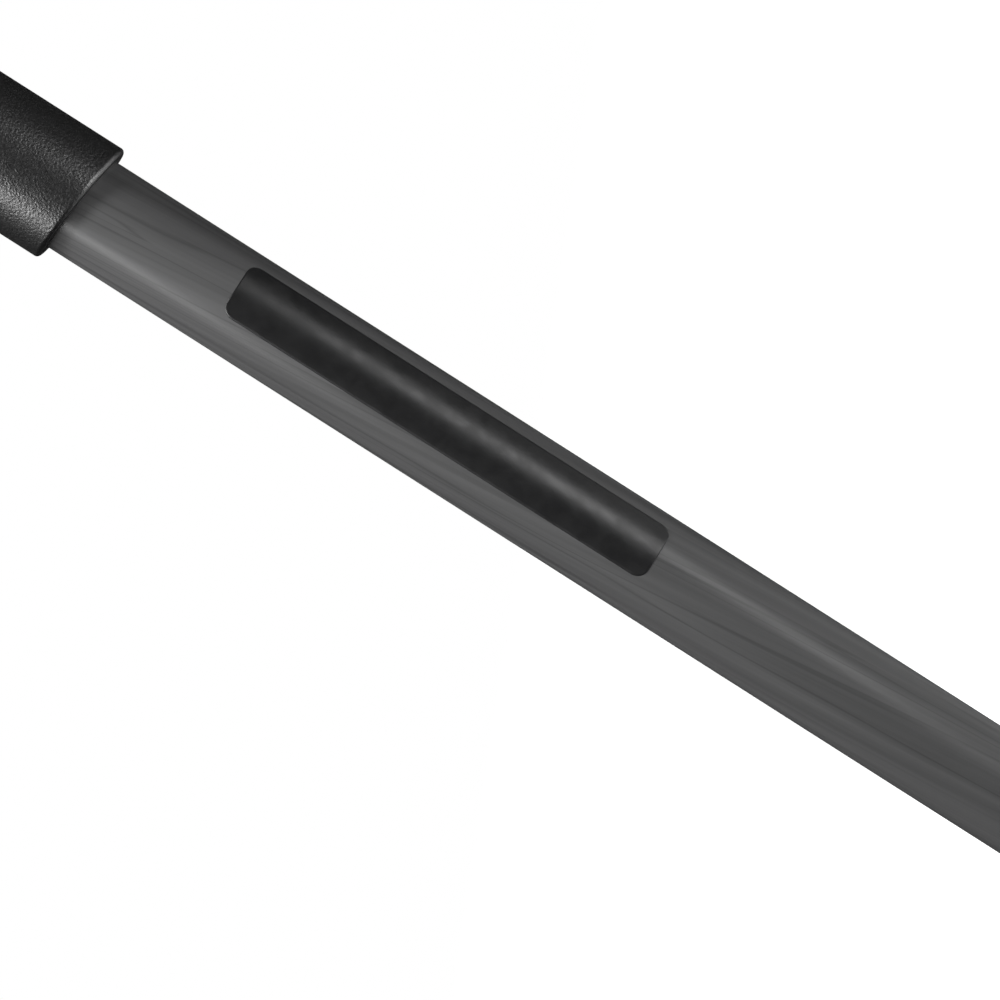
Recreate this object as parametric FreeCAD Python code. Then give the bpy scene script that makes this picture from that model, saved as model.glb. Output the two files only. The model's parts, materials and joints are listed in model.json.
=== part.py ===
import FreeCAD, Part
import math
import os

# Camera tripod, standing on its three feet with the legs at their first stop,
# every leg section pushed in and the centre column part way up.
# Millimetres, +Z up. The origin is on the floor, under the centre column's axis.
# Leg A points along -Y, leg B along 30 degrees and leg C along 150 degrees.

V = FreeCAD.Vector

# Legs: stance
leg_azimuth = {"a": 270.0, "b": 30.0, "c": 150.0}
splay = 24.0
wide_splay = 51.0
pivot_radius = 44.0

# Clearances
run_fit = 0.05
slide_fit = 0.10
glue_gap = 0.03
free_gap = 0.3
collar_gap = 0.6
overcut = 1.0

# Leg tubes, upper to lower
tube_od = [22.5, 19.2, 15.9, 12.6]
tube_wall = 1.0
tube_start = 26.0
tube_nesting = 2.0
bare_tube = 240.0
guide_length = 14.0
collet_length = 22.0
collet_slit = 1.6

# Twist locks
lock_length = [25.0, 24.0, 23.0]
lock_wall = 4.0
lock_lip = 1.5
lock_chamfer = 1.2
ferrule_wall = 1.5
flute_count = 16
flute_radius = 1.7
flute_depth = 0.6
flute_margin = 4.0

# Leg casting
sleeve_od = 28.5
sleeve_end = 66.0
rim_slant = 7.0
rim_round = 1.0
sleeve_top = 34.0
ear_radius = 10.5
ear_outer = 13.5
ear_inner = 8.3
web_start = 16.5
shoulder_level = 18.0
shoulder_corner = 6.0
fork_inset = 1.0
lobe_radius = 5.0

# Leg pivot and angle stops
bolt_radius = 3.0
bolt_head_radius = 5.2
bolt_head_height = 2.4
hex_across_flats = 4.0
hex_depth = 1.6
lug_radius = 10.0
lug_step_1 = 12.2
lug_step_2 = 14.4
stop_gap = 0.2

# Angle tab
tab_slant = 42.0
tab_thickness = 6.0
tab_nose_in = 10.4
tab_travel = 4.6
tab_length = 11.0
tab_lip_rise = 2.2
tab_lip_width = 2.6
tab_nose_bevel = 1.0
tab_pin_radius = 1.5
tab_pin_distance = 20.0

# Feet
foot_radius = 11.0
foot_neck_radius = 8.6
foot_neck_length = 5.0
foot_shoulder = 3.0
foot_length = 23.0
foot_grip = 10.0
stud_radius = 2.5
stud_reach = 6.0
plug_length = 10.0

# Spider
hub_radius = 20.0
hub_half_height = 16.0
hub_chamfer = 1.5
neck_radius = 15.0
neck_height = 21.0
pocket_depth = 3.0
pocket_rim = 3.0

# Level
level_azimuth = 330.0
level_distance = 27.0
level_boss_radius = 7.5
level_boss_half_height = 8.0
level_radius = 5.2
level_depth = 5.0
level_dome = 0.8

# Centre column
column_od = 23.0
column_wall = 1.5
column_length = 255.0
column_raised = 150.0
groove_width = 3.0
groove_depth = 0.9
bush_flange_radius = 15.0
bush_flange_height = 1.5
column_lock_height = 24.5
column_lock_radius = 18.0
column_lock_lip = 1.7
column_flute_count = 18

# Column ends
plate_radius = 21.0
plate_thickness = 7.0
plate_root_radius = 15.0
spigot_length = 15.0
head_stud_radius = 4.7
head_stud_height = 7.5
set_screw_radius = 2.0
set_screw_distance = 16.5
cap_radius = 12.6
cap_height = 6.0
hook_wire = 1.7
hook_ring = 8.0
hook_sweep = 300.0
hook_stem_radius = 2.5
hook_button_radius = 4.0
hook_button_height = 2.0
hook_recess_radius = 4.5

# Ball head
base_radius = 20.5
base_height = 7.0
base_spigot_radius = 9.0
base_spigot_height = 5.0
housing_radius = 21.5
housing_top = 36.5
housing_floor = 1.2
housing_chamfer = 1.5
ball_radius = 16.0
ball_height = 31.0
ball_bore = 16.3
ring_radius = 19.0
ring_rise = 6.3
ring_chamfer = 1.2
cup_height = 8.7
cup_radius = 16.0
cup_seat_depth = 3.0
stem_radius = 6.0
stem_height = 28.0
stem_flange_radius = 11.0
stem_flange_height = 2.0
notch_clearance = 0.5
notch_azimuth = 90.0

# Head knobs
ball_knob_azimuth = 330.0
ball_knob_height = 17.0
ball_knob_radius = 11.0
ball_knob_length = 15.0
ball_knob_shaft = 3.4
ball_knob_lobes = 8
pan_knob_azimuth = 210.0
pan_knob_height = 9.6
pan_knob_radius = 6.0
pan_knob_length = 6.3
pan_knob_shaft = 2.5
pan_knob_lobes = 10
knob_neck_length = 1.5
knob_neck_radius_share = 0.7
lobe_cut_radius = 3.0
lobe_cut_depth = 1.1

# Quick-release clamp and plate
clamp_width = 44.0
clamp_length = 40.0
clamp_base_height = 5.8
clamp_height = 12.0
jaw_width = 6.5
jaw_travel = 2.5
jaw_pin_radius = 1.5
jaw_pin_length = 4 * jaw_travel
jaw_pin_spread = 13.0
clamp_knob_radius = 8.5
clamp_knob_length = 12.0
clamp_knob_shaft = 2.5
clamp_knob_height = 2.9
clamp_knob_reach = 15.0
clamp_knob_lobes = 7
clamp_screw_radius = 2.6
clamp_screw_head = 4.6
clamp_screw_head_height = 2.6
clamp_screw_depth = 9.0
dovetail_width = 37.6
dovetail_land = 1.4
dovetail_step = 2.8
dovetail_neck = 2.0
qr_width = 38.0
qr_length = 46.0
qr_corner = 4.0
qr_flange = 1.6
pad_thickness = 1.2
pad_margin = 1.5
camera_screw_radius = 3.175
camera_screw_neck = 2.5
camera_screw_height = 5.0
camera_screw_head = 8.0
camera_screw_head_height = 2.5
coin_slot_width = 1.6
coin_slot_depth = 1.2

# Places that follow from the sizes above
lock_start = [sleeve_end + bare_tube]
for length in lock_length:
    lock_start.append(lock_start[-1] + length + collar_gap)
foot_start = lock_start[3]
foot_centre = foot_start + foot_length - foot_radius
tube_top = [tube_start + tube_nesting * i for i in range(4)]
tube_end = [lock_start[i] + lock_length[i] - lock_lip - free_gap for i in range(3)]
tube_end.append(foot_start + foot_grip)
pivot_height = foot_centre * math.cos(math.radians(splay)) + foot_radius
tab_nose_out = tab_nose_in + tab_travel
column_lock_bottom = hub_half_height + free_gap
column_lock_top = column_lock_bottom + column_lock_height
column_top = column_lock_top + free_gap + column_raised
column_bottom = column_top - column_length
head_level = column_top + plate_thickness
ball_centre = head_level + ball_height
clamp_level = ball_centre + stem_height + slide_fit
plate_level = clamp_level + clamp_base_height + free_gap
flange_level = plate_level + dovetail_land + dovetail_step + dovetail_neck
pad_level = flange_level + qr_flange
jaw_play = free_gap


def cylinder(radius, low, high, centre=(0.0, 0.0)):
    """Upright cylinder between two heights."""
    return Part.makeCylinder(radius, high - low, V(centre[0], centre[1], low))


def rod(radius, start, end):
    """Cylinder between two points."""
    return Part.makeCylinder(radius, (end - start).Length, start, end - start)


def ring(outer, inner, low, high):
    """Upright tube between two heights."""
    return cylinder(outer, low, high).cut(cylinder(inner, low, high))


def turned(points):
    """Solid of revolution about Z of an outline of (radius, height) points."""
    outline = [V(r, 0, z) for r, z in points]
    outline.append(outline[0])
    face = Part.Face(Part.makePolygon(outline))
    return face.revolve(V(0, 0, 0), V(0, 0, 1), 360)


def plate(points, low, high):
    """Upright prism of a flat outline of (x, y) points."""
    outline = [V(x, y, low) for x, y in points]
    outline.append(outline[0])
    return Part.Face(Part.makePolygon(outline)).extrude(V(0, 0, high - low))


def across(points, half_width):
    """Prism along Y of an outline of (x, z) points, centred on Y = 0."""
    outline = [V(x, -half_width, z) for x, z in points]
    outline.append(outline[0])
    return Part.Face(Part.makePolygon(outline)).extrude(V(0, 2 * half_width, 0))


def box(x, y, z):
    """Box from three (low, high) pairs."""
    return Part.makeBox(x[1] - x[0], y[1] - y[0], z[1] - z[0], V(x[0], y[0], z[0]))


def turn_z(shape, degrees):
    """Copy turned about the Z axis."""
    copy = shape.copy()
    copy.rotate(V(0, 0, 0), V(0, 0, 1), degrees)
    return copy


def lift(shape, height):
    """Copy raised by a height."""
    copy = shape.copy()
    copy.translate(V(0, 0, height))
    return copy


def around_z(shape, count):
    """The shape repeated evenly about Z, as one list."""
    return [turn_z(shape, 360.0 * i / count) for i in range(count)]


def rounded_section(x_low, x_high, y_half, corner, level):
    """Closed wire of four lines and four arcs in a horizontal plane."""
    centres = [
        V(x_high - corner, y_half - corner, level), V(x_low + corner, y_half - corner, level),
        V(x_low + corner, -y_half + corner, level), V(x_high - corner, -y_half + corner, level),
    ]
    arcs = []
    for i, centre in enumerate(centres):
        angles = [math.radians(90 * i + step) for step in (0, 45, 90)]
        arcs.append([centre + V(corner * math.cos(a), corner * math.sin(a), 0) for a in angles])
    edges = []
    for i, points in enumerate(arcs):
        edges.append(Part.Arc(points[0], points[1], points[2]).toShape())
        edges.append(Part.LineSegment(points[2], arcs[(i + 1) % 4][0]).toShape())
    return Part.Wire(edges)


def polar(distance, degrees):
    """Point of a leg's plane: distance from the pivot, angle outward from straight down."""
    angle = math.radians(degrees)
    return V(distance * math.sin(angle), 0, -distance * math.cos(angle))


def tab_point(along, rise):
    """Point of a leg's plane measured along the angle tab and square to it."""
    angle = math.radians(tab_slant)
    return polar(along, tab_slant) + V(rise * math.cos(angle), 0, rise * math.sin(angle))


def hex_socket(centre):
    """Outline of a hexagonal key socket about a point of the first axis."""
    tip = hex_across_flats / math.sqrt(3)
    angles = [math.radians(60 * i) for i in range(6)]
    return [(centre + tip * math.cos(a), tip * math.sin(a)) for a in angles]


def place_leg(shape, leg):
    """Splay a piece built on a leg that hangs from the origin, and set it at its pivot."""
    copy = shape.copy()
    copy.rotate(V(0, 0, 0), V(0, 1, 0), -splay)
    copy.translate(V(pivot_radius, 0, pivot_height))
    return turn_z(copy, leg_azimuth[leg])


def place_hub(shape):
    """Raise a piece built about the pivot plane to its place over the floor."""
    return lift(shape, pivot_height)


def tangent_arc(radius, first, last, centre=V(0, 0, 0)):
    """Arc in a leg's plane about a point, between two polar angles."""
    middle = (first + last) / 2
    points = [centre + polar(radius, angle) for angle in (first, middle, last)]
    return Part.Arc(points[0], points[1], points[2]).toShape()


def leg_casting():
    """Fork that straddles the spider's lug, with the sleeve that the upper tube is bonded in."""
    sleeve_r = sleeve_od / 2
    half_ear = ear_outer
    lobe = polar(tab_pin_distance, tab_slant)
    lean = math.degrees(math.acos((ear_radius - lobe_radius) / tab_pin_distance))
    tangent = tab_slant + lean

    # The sleeve's end is cut at a slant and its edge is rounded
    sleeve = cylinder(sleeve_r, -sleeve_end - sleeve_r, -sleeve_top)
    slant = math.tan(math.radians(rim_slant))
    low = -sleeve_end - 2 * sleeve_r
    trim = across([(-sleeve_od, low - sleeve_r), (sleeve_od, low - sleeve_r),
                   (sleeve_od, -sleeve_end + sleeve_od * slant),
                   (-sleeve_od, -sleeve_end - sleeve_od * slant)], sleeve_od)
    sleeve = sleeve.cut(trim)
    rim = min(sleeve.Faces, key=lambda face: face.CenterOfMass.z)
    sleeve = sleeve.makeFillet(rim_round, rim.Edges)

    # The fork flows out of the round sleeve into two flat ears
    lobe_out = lobe.x + lobe_radius
    sections = [
        rounded_section(-sleeve_r, sleeve_r, sleeve_r, sleeve_r - glue_gap, -sleeve_top),
        rounded_section(-sleeve_r + fork_inset, lobe_out, half_ear, shoulder_corner, -shoulder_level),
        rounded_section(-sleeve_r + 2 * fork_inset, lobe_out, half_ear, shoulder_corner,
                        ear_radius + overcut),
    ]
    body = Part.makeLoft(sections, True, True)
    start = V(-ear_radius, 0, 0)
    outline = [
        tangent_arc(ear_radius, 270, tangent),
        Part.LineSegment(polar(ear_radius, tangent), lobe + polar(lobe_radius, tangent)).toShape(),
        tangent_arc(lobe_radius, tangent, 90, lobe),
        Part.LineSegment(lobe + polar(lobe_radius, 90), V(lobe_out, 0, -sleeve_top)).toShape(),
        Part.LineSegment(V(lobe_out, 0, -sleeve_top), V(-sleeve_r, 0, -sleeve_top)).toShape(),
        Part.LineSegment(V(-sleeve_r, 0, -sleeve_top), V(-sleeve_r, 0, -shoulder_level)).toShape(),
        Part.LineSegment(V(-sleeve_r, 0, -shoulder_level), start).toShape(),
    ]
    side_view = Part.Face(Part.Wire(outline)).extrude(V(0, 4 * half_ear, 0))
    side_view.translate(V(0, -2 * half_ear, 0))
    casting = sleeve.fuse(body.common(side_view)).removeSplitter()

    # Slot for the lug, channel for the tab, socket for the tube and the cross bores
    reach = 2 * sleeve_od
    slot = box((-reach, reach), (-ear_inner, ear_inner), (-web_start, reach))
    under_tab = -tab_thickness / 2 - free_gap
    channel = [tab_point(0, under_tab), tab_point(reach, under_tab), tab_point(reach, reach),
               tab_point(0, reach)]
    channel = across([(p.x, p.z) for p in channel], ear_inner)
    socket = cylinder(tube_od[0] / 2 + glue_gap, -2 * sleeve_end, -tube_start + glue_gap)
    pivot_bore = rod(bolt_radius + run_fit, V(0, -reach, 0), V(0, reach, 0))
    pin_bore = rod(tab_pin_radius + glue_gap, lobe - V(0, reach, 0), lobe + V(0, reach, 0))
    casting = casting.cut([slot, channel, socket, pivot_bore, pin_bore])
    pin = rod(tab_pin_radius, lobe - V(0, half_ear - free_gap, 0), lobe + V(0, half_ear - free_gap, 0))
    return Part.makeCompound([casting.Solids[0], pin])


def angle_tab():
    """Pull tab that rides on its cross pin between the ears, drawn clear of the stops."""
    half = tab_thickness / 2
    nose = tab_nose_out
    end = nose + tab_length
    outline = [
        tab_point(nose, -half + tab_nose_bevel), tab_point(nose + tab_nose_bevel, -half),
        tab_point(end - tab_nose_bevel, -half), tab_point(end, -half + tab_nose_bevel),
        tab_point(end, half + tab_lip_rise), tab_point(end - tab_lip_width, half + tab_lip_rise),
        tab_point(end - 2 * tab_lip_width, half), tab_point(nose + tab_nose_bevel, half),
        tab_point(nose, half - tab_nose_bevel),
    ]
    tab = across([(p.x, p.z) for p in outline], ear_inner - free_gap)
    hole = tab_pin_radius + run_fit
    first = tab_point(tab_pin_distance, 0)
    last = tab_point(tab_pin_distance + tab_travel, 0)
    wide = V(0, 2 * ear_inner, 0)
    window = [tab_point(tab_pin_distance, -hole), tab_point(tab_pin_distance + tab_travel, -hole),
              tab_point(tab_pin_distance + tab_travel, hole), tab_point(tab_pin_distance, hole)]
    tools = [rod(hole, first - wide, first + wide), rod(hole, last - wide, last + wide),
             across([(p.x, p.z) for p in window], 2 * ear_inner)]
    return tab.cut(tools)


def split_sleeve(outer, inner, low, high):
    """Thin plastic sleeve with one slit down its side."""
    slit = box((0, 2 * outer), (-collet_slit / 2, collet_slit / 2), (low - overcut, high + overcut))
    return ring(outer, inner, low, high).cut(slit)


def leg_tube(i):
    """Leg tube with the fittings that are bonded to it: ferrule and collet below, guide sleeve above."""
    outer = tube_od[i] / 2
    inner = outer - tube_wall
    top = -tube_top[i]
    bottom = -tube_end[i]
    solids = [ring(outer, inner, bottom, top)]
    if i < 3:
        ferrule_top = -(lock_start[i] + lock_lip + free_gap)
        solids.append(ring(outer + ferrule_wall, outer + glue_gap, bottom, ferrule_top))
        inside = tube_od[i + 1] / 2 + slide_fit
        solids.append(split_sleeve(inner - glue_gap, inside, bottom, bottom + collet_length))
    if i > 0:
        outside = tube_od[i - 1] / 2 - tube_wall - slide_fit
        solids.append(split_sleeve(outside, outer + glue_gap, top - guide_length, top))
    return Part.makeCompound(solids)


def fluted(body, radius, count, low, high):
    """Cut finger flutes into a round grip."""
    tool = cylinder(flute_radius, low, high, (radius + flute_radius - flute_depth, 0))
    return body.cut(around_z(tool, count))


def twist_lock(i):
    """Threaded collar that closes the collet on the next tube."""
    outer = tube_od[i] / 2 + lock_wall
    top = -lock_start[i]
    bottom = top - lock_length[i]
    thread = tube_od[i] / 2 + ferrule_wall + run_fit
    upper_hole = tube_od[i] / 2 + free_gap
    lower_hole = tube_od[i + 1] / 2 + free_gap
    nut = turned([
        (upper_hole, top), (outer - lock_chamfer, top), (outer, top - lock_chamfer),
        (outer, bottom + lock_chamfer), (outer - lock_chamfer, bottom),
        (lower_hole, bottom), (lower_hole, bottom + lock_lip),
        (thread, bottom + lock_lip), (thread, top - lock_lip), (upper_hole, top - lock_lip),
    ])
    return fluted(nut, outer, flute_count, bottom + flute_margin, top - flute_margin)


def foot():
    """Ball-ended rubber foot pushed over the lowest tube."""
    top = -foot_start
    centre = -foot_centre
    ball = Part.makeSphere(foot_radius, V(0, 0, centre))
    neck_low = top - foot_neck_length
    ledge = foot_radius - foot_shoulder
    shoulder = math.sqrt(foot_radius**2 - ledge**2)
    neck = turned([(0, top), (foot_neck_radius, top), (foot_neck_radius, neck_low),
                   (ledge + glue_gap, centre + shoulder), (0, centre)])
    grip = cylinder(tube_od[3] / 2 + glue_gap, -tube_end[3] - glue_gap, top + overcut)
    bore = cylinder(stud_radius + glue_gap, -tube_end[3] - stud_reach - glue_gap, top)
    return ball.fuse(neck).cut(grip.fuse(bore)).removeSplitter()


def foot_stud():
    """Plug in the lowest tube with the stud that the foot is screwed on."""
    end = -tube_end[3]
    plug = cylinder(tube_od[3] / 2 - tube_wall - glue_gap, end, end + plug_length)
    return plug.fuse(cylinder(stud_radius, end - stud_reach, end + plug_length / 2)).removeSplitter()


def stop_corner(distance, stop):
    """Point where the stop face for a leg angle crosses a circle about the pivot."""
    offset = tab_thickness / 2 + stop_gap
    swing = math.degrees(math.asin(offset / distance))
    return stop + tab_slant + swing


def lug_cam_angle():
    """Angle at which the cam ends, just past the tab of a leg that is folded straight up."""
    return 180 + tab_slant + math.degrees(math.asin((tab_thickness / 2 + 2 * free_gap) / lug_step_2))


def lug_web_end():
    """Point where the cam meets the flat top of the web, below the folded leg's tab."""
    return polar(lug_step_2, lug_cam_angle())


def lug():
    """Spider lug with a stepped cam: each step stops the angle tab at one leg angle."""
    reach = pivot_radius - neck_radius
    first_low = stop_corner(lug_radius, splay)
    first_high = stop_corner(lug_step_1, splay)
    second_low = stop_corner(lug_step_1, wide_splay)
    second_high = stop_corner(lug_step_2, wide_splay)
    cam_end = lug_web_end()
    top_inner = V(-reach, 0, cam_end.z)
    low_inner = V(-reach, 0, -lug_radius)
    outline = [
        Part.LineSegment(low_inner, polar(lug_radius, 0)).toShape(),
        tangent_arc(lug_radius, 0, first_low),
        Part.LineSegment(polar(lug_radius, first_low), polar(lug_step_1, first_high)).toShape(),
        tangent_arc(lug_step_1, first_high, second_low),
        Part.LineSegment(polar(lug_step_1, second_low), polar(lug_step_2, second_high)).toShape(),
        tangent_arc(lug_step_2, second_high, lug_cam_angle()),
        Part.LineSegment(cam_end, top_inner).toShape(),
        Part.LineSegment(top_inner, low_inner).toShape(),
    ]
    half = ear_inner - free_gap
    body = Part.Face(Part.Wire(outline)).extrude(V(0, 2 * half, 0))
    body.translate(V(pivot_radius, -half, 0))
    return body


def lug_pocket(side):
    """Shallow casting pocket in the flank of a lug, between the hub and the pivot boss."""
    inner = hub_radius + pocket_rim
    outer = pivot_radius - lug_radius
    low = -lug_radius + pocket_rim
    high = lug_web_end().z - pocket_rim
    face = side * (ear_inner - free_gap)
    y = sorted([face - side * pocket_depth, face + side * overcut])
    return box((inner, outer), y, (low, high))


def bush_bore():
    """Radius of the hub's bore, over the column bush."""
    return bush_outer() + glue_gap


def bush_outer():
    """Outer radius of the column bush."""
    return column_od / 2 + column_wall


def spider():
    """Centre casting: hub, threaded neck, three lugs and the level's boss."""
    top = hub_half_height
    hub = turned([
        (0, -top), (hub_radius - hub_chamfer, -top), (hub_radius, -top + hub_chamfer),
        (hub_radius, top - hub_chamfer), (hub_radius - hub_chamfer, top),
        (neck_radius, top), (neck_radius, top + neck_height), (0, top + neck_height),
    ])
    arms = []
    cuts = [cylinder(bush_bore(), -2 * top, 3 * top)]
    for azimuth in leg_azimuth.values():
        arms.append(turn_z(lug(), azimuth))
        bore = rod(bolt_radius + run_fit, V(pivot_radius, -hub_radius, 0), V(pivot_radius, hub_radius, 0))
        cuts.append(turn_z(bore, azimuth))
        for side in (1, -1):
            cuts.append(turn_z(lug_pocket(side), azimuth))
    boss = cylinder(level_boss_radius, -level_boss_half_height, level_boss_half_height, (level_distance, 0))
    web = box((neck_radius, level_distance), (-level_boss_radius, level_boss_radius),
              (-level_boss_half_height, level_boss_half_height))
    arms.append(turn_z(boss.fuse(web), level_azimuth))
    seat_low = level_boss_half_height - level_depth - glue_gap
    seat = cylinder(level_radius + run_fit, seat_low, top, (level_distance, 0))
    cuts.append(turn_z(seat, level_azimuth))
    return place_hub(hub.fuse(arms).removeSplitter().cut(cuts))


def level_vial():
    """Round bubble level in the spider's boss, with its domed window."""
    low = level_boss_half_height - level_depth
    high = level_boss_half_height
    sphere_r = (level_radius**2 + level_dome**2) / (2 * level_dome)
    body = cylinder(level_radius, low, high + level_dome, (level_distance, 0))
    dome = Part.makeSphere(sphere_r, V(level_distance, 0, high + level_dome - sphere_r))
    return place_hub(turn_z(body.common(dome), level_azimuth))


def pivot_bolts():
    """The three leg pivots, each a bolt through both ears and the lug, with its nut."""
    face = ear_outer + free_gap
    shank = rod(bolt_radius, V(pivot_radius, -face, 0), V(pivot_radius, face, 0))
    head = rod(bolt_head_radius, V(pivot_radius, face, 0), V(pivot_radius, face + bolt_head_height, 0))
    nut = rod(bolt_head_radius, V(pivot_radius, -face - bolt_head_height, 0), V(pivot_radius, -face, 0))
    bolt = shank.fuse([head, nut]).removeSplitter()
    key = across(hex_socket(pivot_radius), hex_depth)
    cuts = [key.translated(V(0, side * (face + bolt_head_height), 0)) for side in (1, -1)]
    bolt = bolt.cut(cuts)
    return place_hub(Part.makeCompound([turn_z(bolt, azimuth) for azimuth in leg_azimuth.values()]))


def column_bush():
    """Plastic bush that guides the column, with a key in the column's groove."""
    top = hub_half_height
    inner = column_od / 2 + slide_fit
    bush_top = column_lock_top - column_lock_lip - free_gap
    body = turned([
        (inner, -top - bush_flange_height), (bush_flange_radius, -top - bush_flange_height),
        (bush_flange_radius, -top), (bush_outer(), -top), (bush_outer(), bush_top), (inner, bush_top),
    ])
    key_half = groove_width / 2 - slide_fit
    key = box((-key_half, key_half), (column_od / 2 - groove_depth + slide_fit, inner + column_wall / 2),
              (-top, bush_top))
    return place_hub(body.fuse(key).removeSplitter())


def column_lock():
    """Twist collar round the spider's neck, which clamps the column."""
    thread = neck_radius + run_fit
    hole = column_od / 2 + free_gap
    low = column_lock_bottom
    high = column_lock_top
    radius = column_lock_radius
    nut = turned([
        (thread, low), (radius - lock_chamfer, low), (radius, low + lock_chamfer),
        (radius, high - lock_chamfer), (radius - lock_chamfer, high),
        (hole, high), (hole, high - column_lock_lip), (thread, high - column_lock_lip),
    ])
    return place_hub(fluted(nut, radius, column_flute_count, low + flute_margin, high - flute_margin))


def column_tube():
    """Centre column with the groove that stops it turning."""
    groove = box((-groove_width / 2, groove_width / 2), (column_od / 2 - groove_depth, column_od),
                 (column_bottom - overcut, column_top + overcut))
    tube = ring(column_od / 2, column_od / 2 - column_wall, column_bottom, column_top)
    return place_hub(tube.cut(groove))


def column_plate():
    """Disc on top of the column that the head stands on, with the spigot bonded in the tube."""
    spigot_r = column_od / 2 - column_wall - glue_gap
    disc = turned([
        (0, column_top - spigot_length), (spigot_r, column_top - spigot_length), (spigot_r, column_top),
        (plate_root_radius, column_top), (plate_radius, head_level - plate_thickness / 2),
        (plate_radius, head_level), (0, head_level),
    ])
    above = head_level + overcut
    bore = cylinder(head_stud_radius + run_fit, column_top - spigot_length - overcut, above)
    hole = cylinder(set_screw_radius + run_fit, column_top - overcut, above, (set_screw_distance, 0))
    return place_hub(disc.cut([bore] + around_z(turn_z(hole, notch_azimuth), 3)))


def head_stud():
    """Threaded stud through the column plate that carries the head."""
    return place_hub(cylinder(head_stud_radius, column_top - spigot_length, head_level + head_stud_height))


def head_set_screws():
    """Three grub screws that lock the head on its plate."""
    screw = cylinder(set_screw_radius, column_top + plate_thickness / 2, head_level, (set_screw_distance, 0))
    return place_hub(Part.makeCompound(around_z(turn_z(screw, notch_azimuth), 3)))


def column_cap():
    """Cap on the column's lower end, bored for the hook."""
    spigot_r = column_od / 2 - column_wall - glue_gap
    low = column_bottom - cap_height
    cap = turned([
        (0, low), (cap_radius - lock_chamfer, low), (cap_radius, low + lock_chamfer),
        (cap_radius, column_bottom), (spigot_r, column_bottom),
        (spigot_r, column_bottom + spigot_length), (0, column_bottom + spigot_length),
    ])
    above = column_bottom + spigot_length + overcut
    bore = cylinder(hook_stem_radius + run_fit, low - overcut, above)
    recess = cylinder(hook_recess_radius, column_bottom + spigot_length / 2, above)
    return place_hub(cap.cut([bore, recess]))


def bag_hook():
    """Open hook under the column for a weight, free to turn in the cap."""
    low = column_bottom - cap_height
    eye = low - hook_wire - free_gap - hook_ring
    loop = Part.makeTorus(hook_ring, hook_wire, V(0, 0, 0), V(0, 1, 0), -180, 180, hook_sweep)
    loop.rotate(V(0, 0, 0), V(0, 1, 0), -90)
    loop.translate(V(0, 0, eye))
    top = column_bottom + spigot_length / 2 + free_gap
    stem = cylinder(hook_stem_radius, eye + hook_ring, top)
    button = cylinder(hook_button_radius, top, top + hook_button_height)
    return place_hub(loop.fuse([stem, button]).removeSplitter())


def head_base():
    """Fixed foot of the ball head, with the spigot that the housing pans on."""
    low = head_level
    high = low + base_height
    disc = turned([
        (0, low), (base_radius - hub_chamfer, low), (base_radius, low + hub_chamfer), (base_radius, high),
        (base_spigot_radius, high), (base_spigot_radius, high + base_spigot_height),
        (0, high + base_spigot_height),
    ])
    bore = cylinder(head_stud_radius + run_fit, low - overcut, low + head_stud_height + free_gap)
    return place_hub(disc.cut(bore))


def drop_notch():
    """Tool for the notch that lets the stem drop to the side."""
    half = stem_radius + notch_clearance
    far = 2 * housing_radius
    slot = box((0, far), (-half, half), (ball_centre, ball_centre + far))
    bed = rod(half, V(0, 0, ball_centre), V(far, 0, ball_centre))
    return turn_z(slot.fuse(bed), notch_azimuth)


def radial_bore(radius, azimuth, height, inner):
    """Tool for a bore square to the head's axis, from an inner radius outwards."""
    level = head_level + height
    return turn_z(rod(radius, V(inner, 0, level), V(2 * housing_radius, 0, level)), azimuth)


def head_housing():
    """Panning body of the head: a cup for the ball with the drop notch and the knobs' bores."""
    low = head_level + base_height + free_gap
    high = head_level + housing_top
    spigot_top = head_level + base_height + base_spigot_height + free_gap
    floor = spigot_top + housing_floor
    body = turned([
        (base_spigot_radius + run_fit, low), (housing_radius - housing_chamfer, low),
        (housing_radius, low + housing_chamfer), (housing_radius, high - housing_chamfer),
        (housing_radius - housing_chamfer, high), (ring_radius + glue_gap, high),
        (ring_radius + glue_gap, ball_centre), (ball_bore, ball_centre), (ball_bore, floor),
        (0, floor), (0, spigot_top), (base_spigot_radius + run_fit, spigot_top),
    ])
    cuts = [
        drop_notch(),
        radial_bore(ball_knob_shaft + run_fit, ball_knob_azimuth, ball_knob_height, ball_bore - overcut),
        radial_bore(pan_knob_shaft + run_fit, pan_knob_azimuth, pan_knob_height, base_spigot_radius),
    ]
    return place_hub(body.cut(cuts))


def ball_space():
    """Tool for the hollow round the ball."""
    return Part.makeSphere(ball_radius + slide_fit, V(0, 0, ball_centre))


def retaining_ring():
    """Ring screwed into the housing's mouth, which holds the ball down."""
    high = ball_centre + ring_rise
    body = turned([
        (0, ball_centre + free_gap), (ring_radius, ball_centre + free_gap),
        (ring_radius, high - ring_chamfer), (ring_radius - ring_chamfer, high), (0, high),
    ])
    return place_hub(body.cut([ball_space(), drop_notch()]))


def pressure_cup():
    """Friction cup under the ball, pushed up by the ball knob."""
    low = head_level + base_height + base_spigot_height + free_gap + housing_floor + glue_gap
    body = cylinder(cup_radius, low, low + cup_height)
    bore = radial_bore(ball_knob_shaft + free_gap, ball_knob_azimuth, ball_knob_height,
                       cup_radius - cup_seat_depth)
    return place_hub(body.cut([ball_space(), bore]))


def ball():
    """Ball of the head."""
    return place_hub(Part.makeSphere(ball_radius, V(0, 0, ball_centre)))


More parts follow.
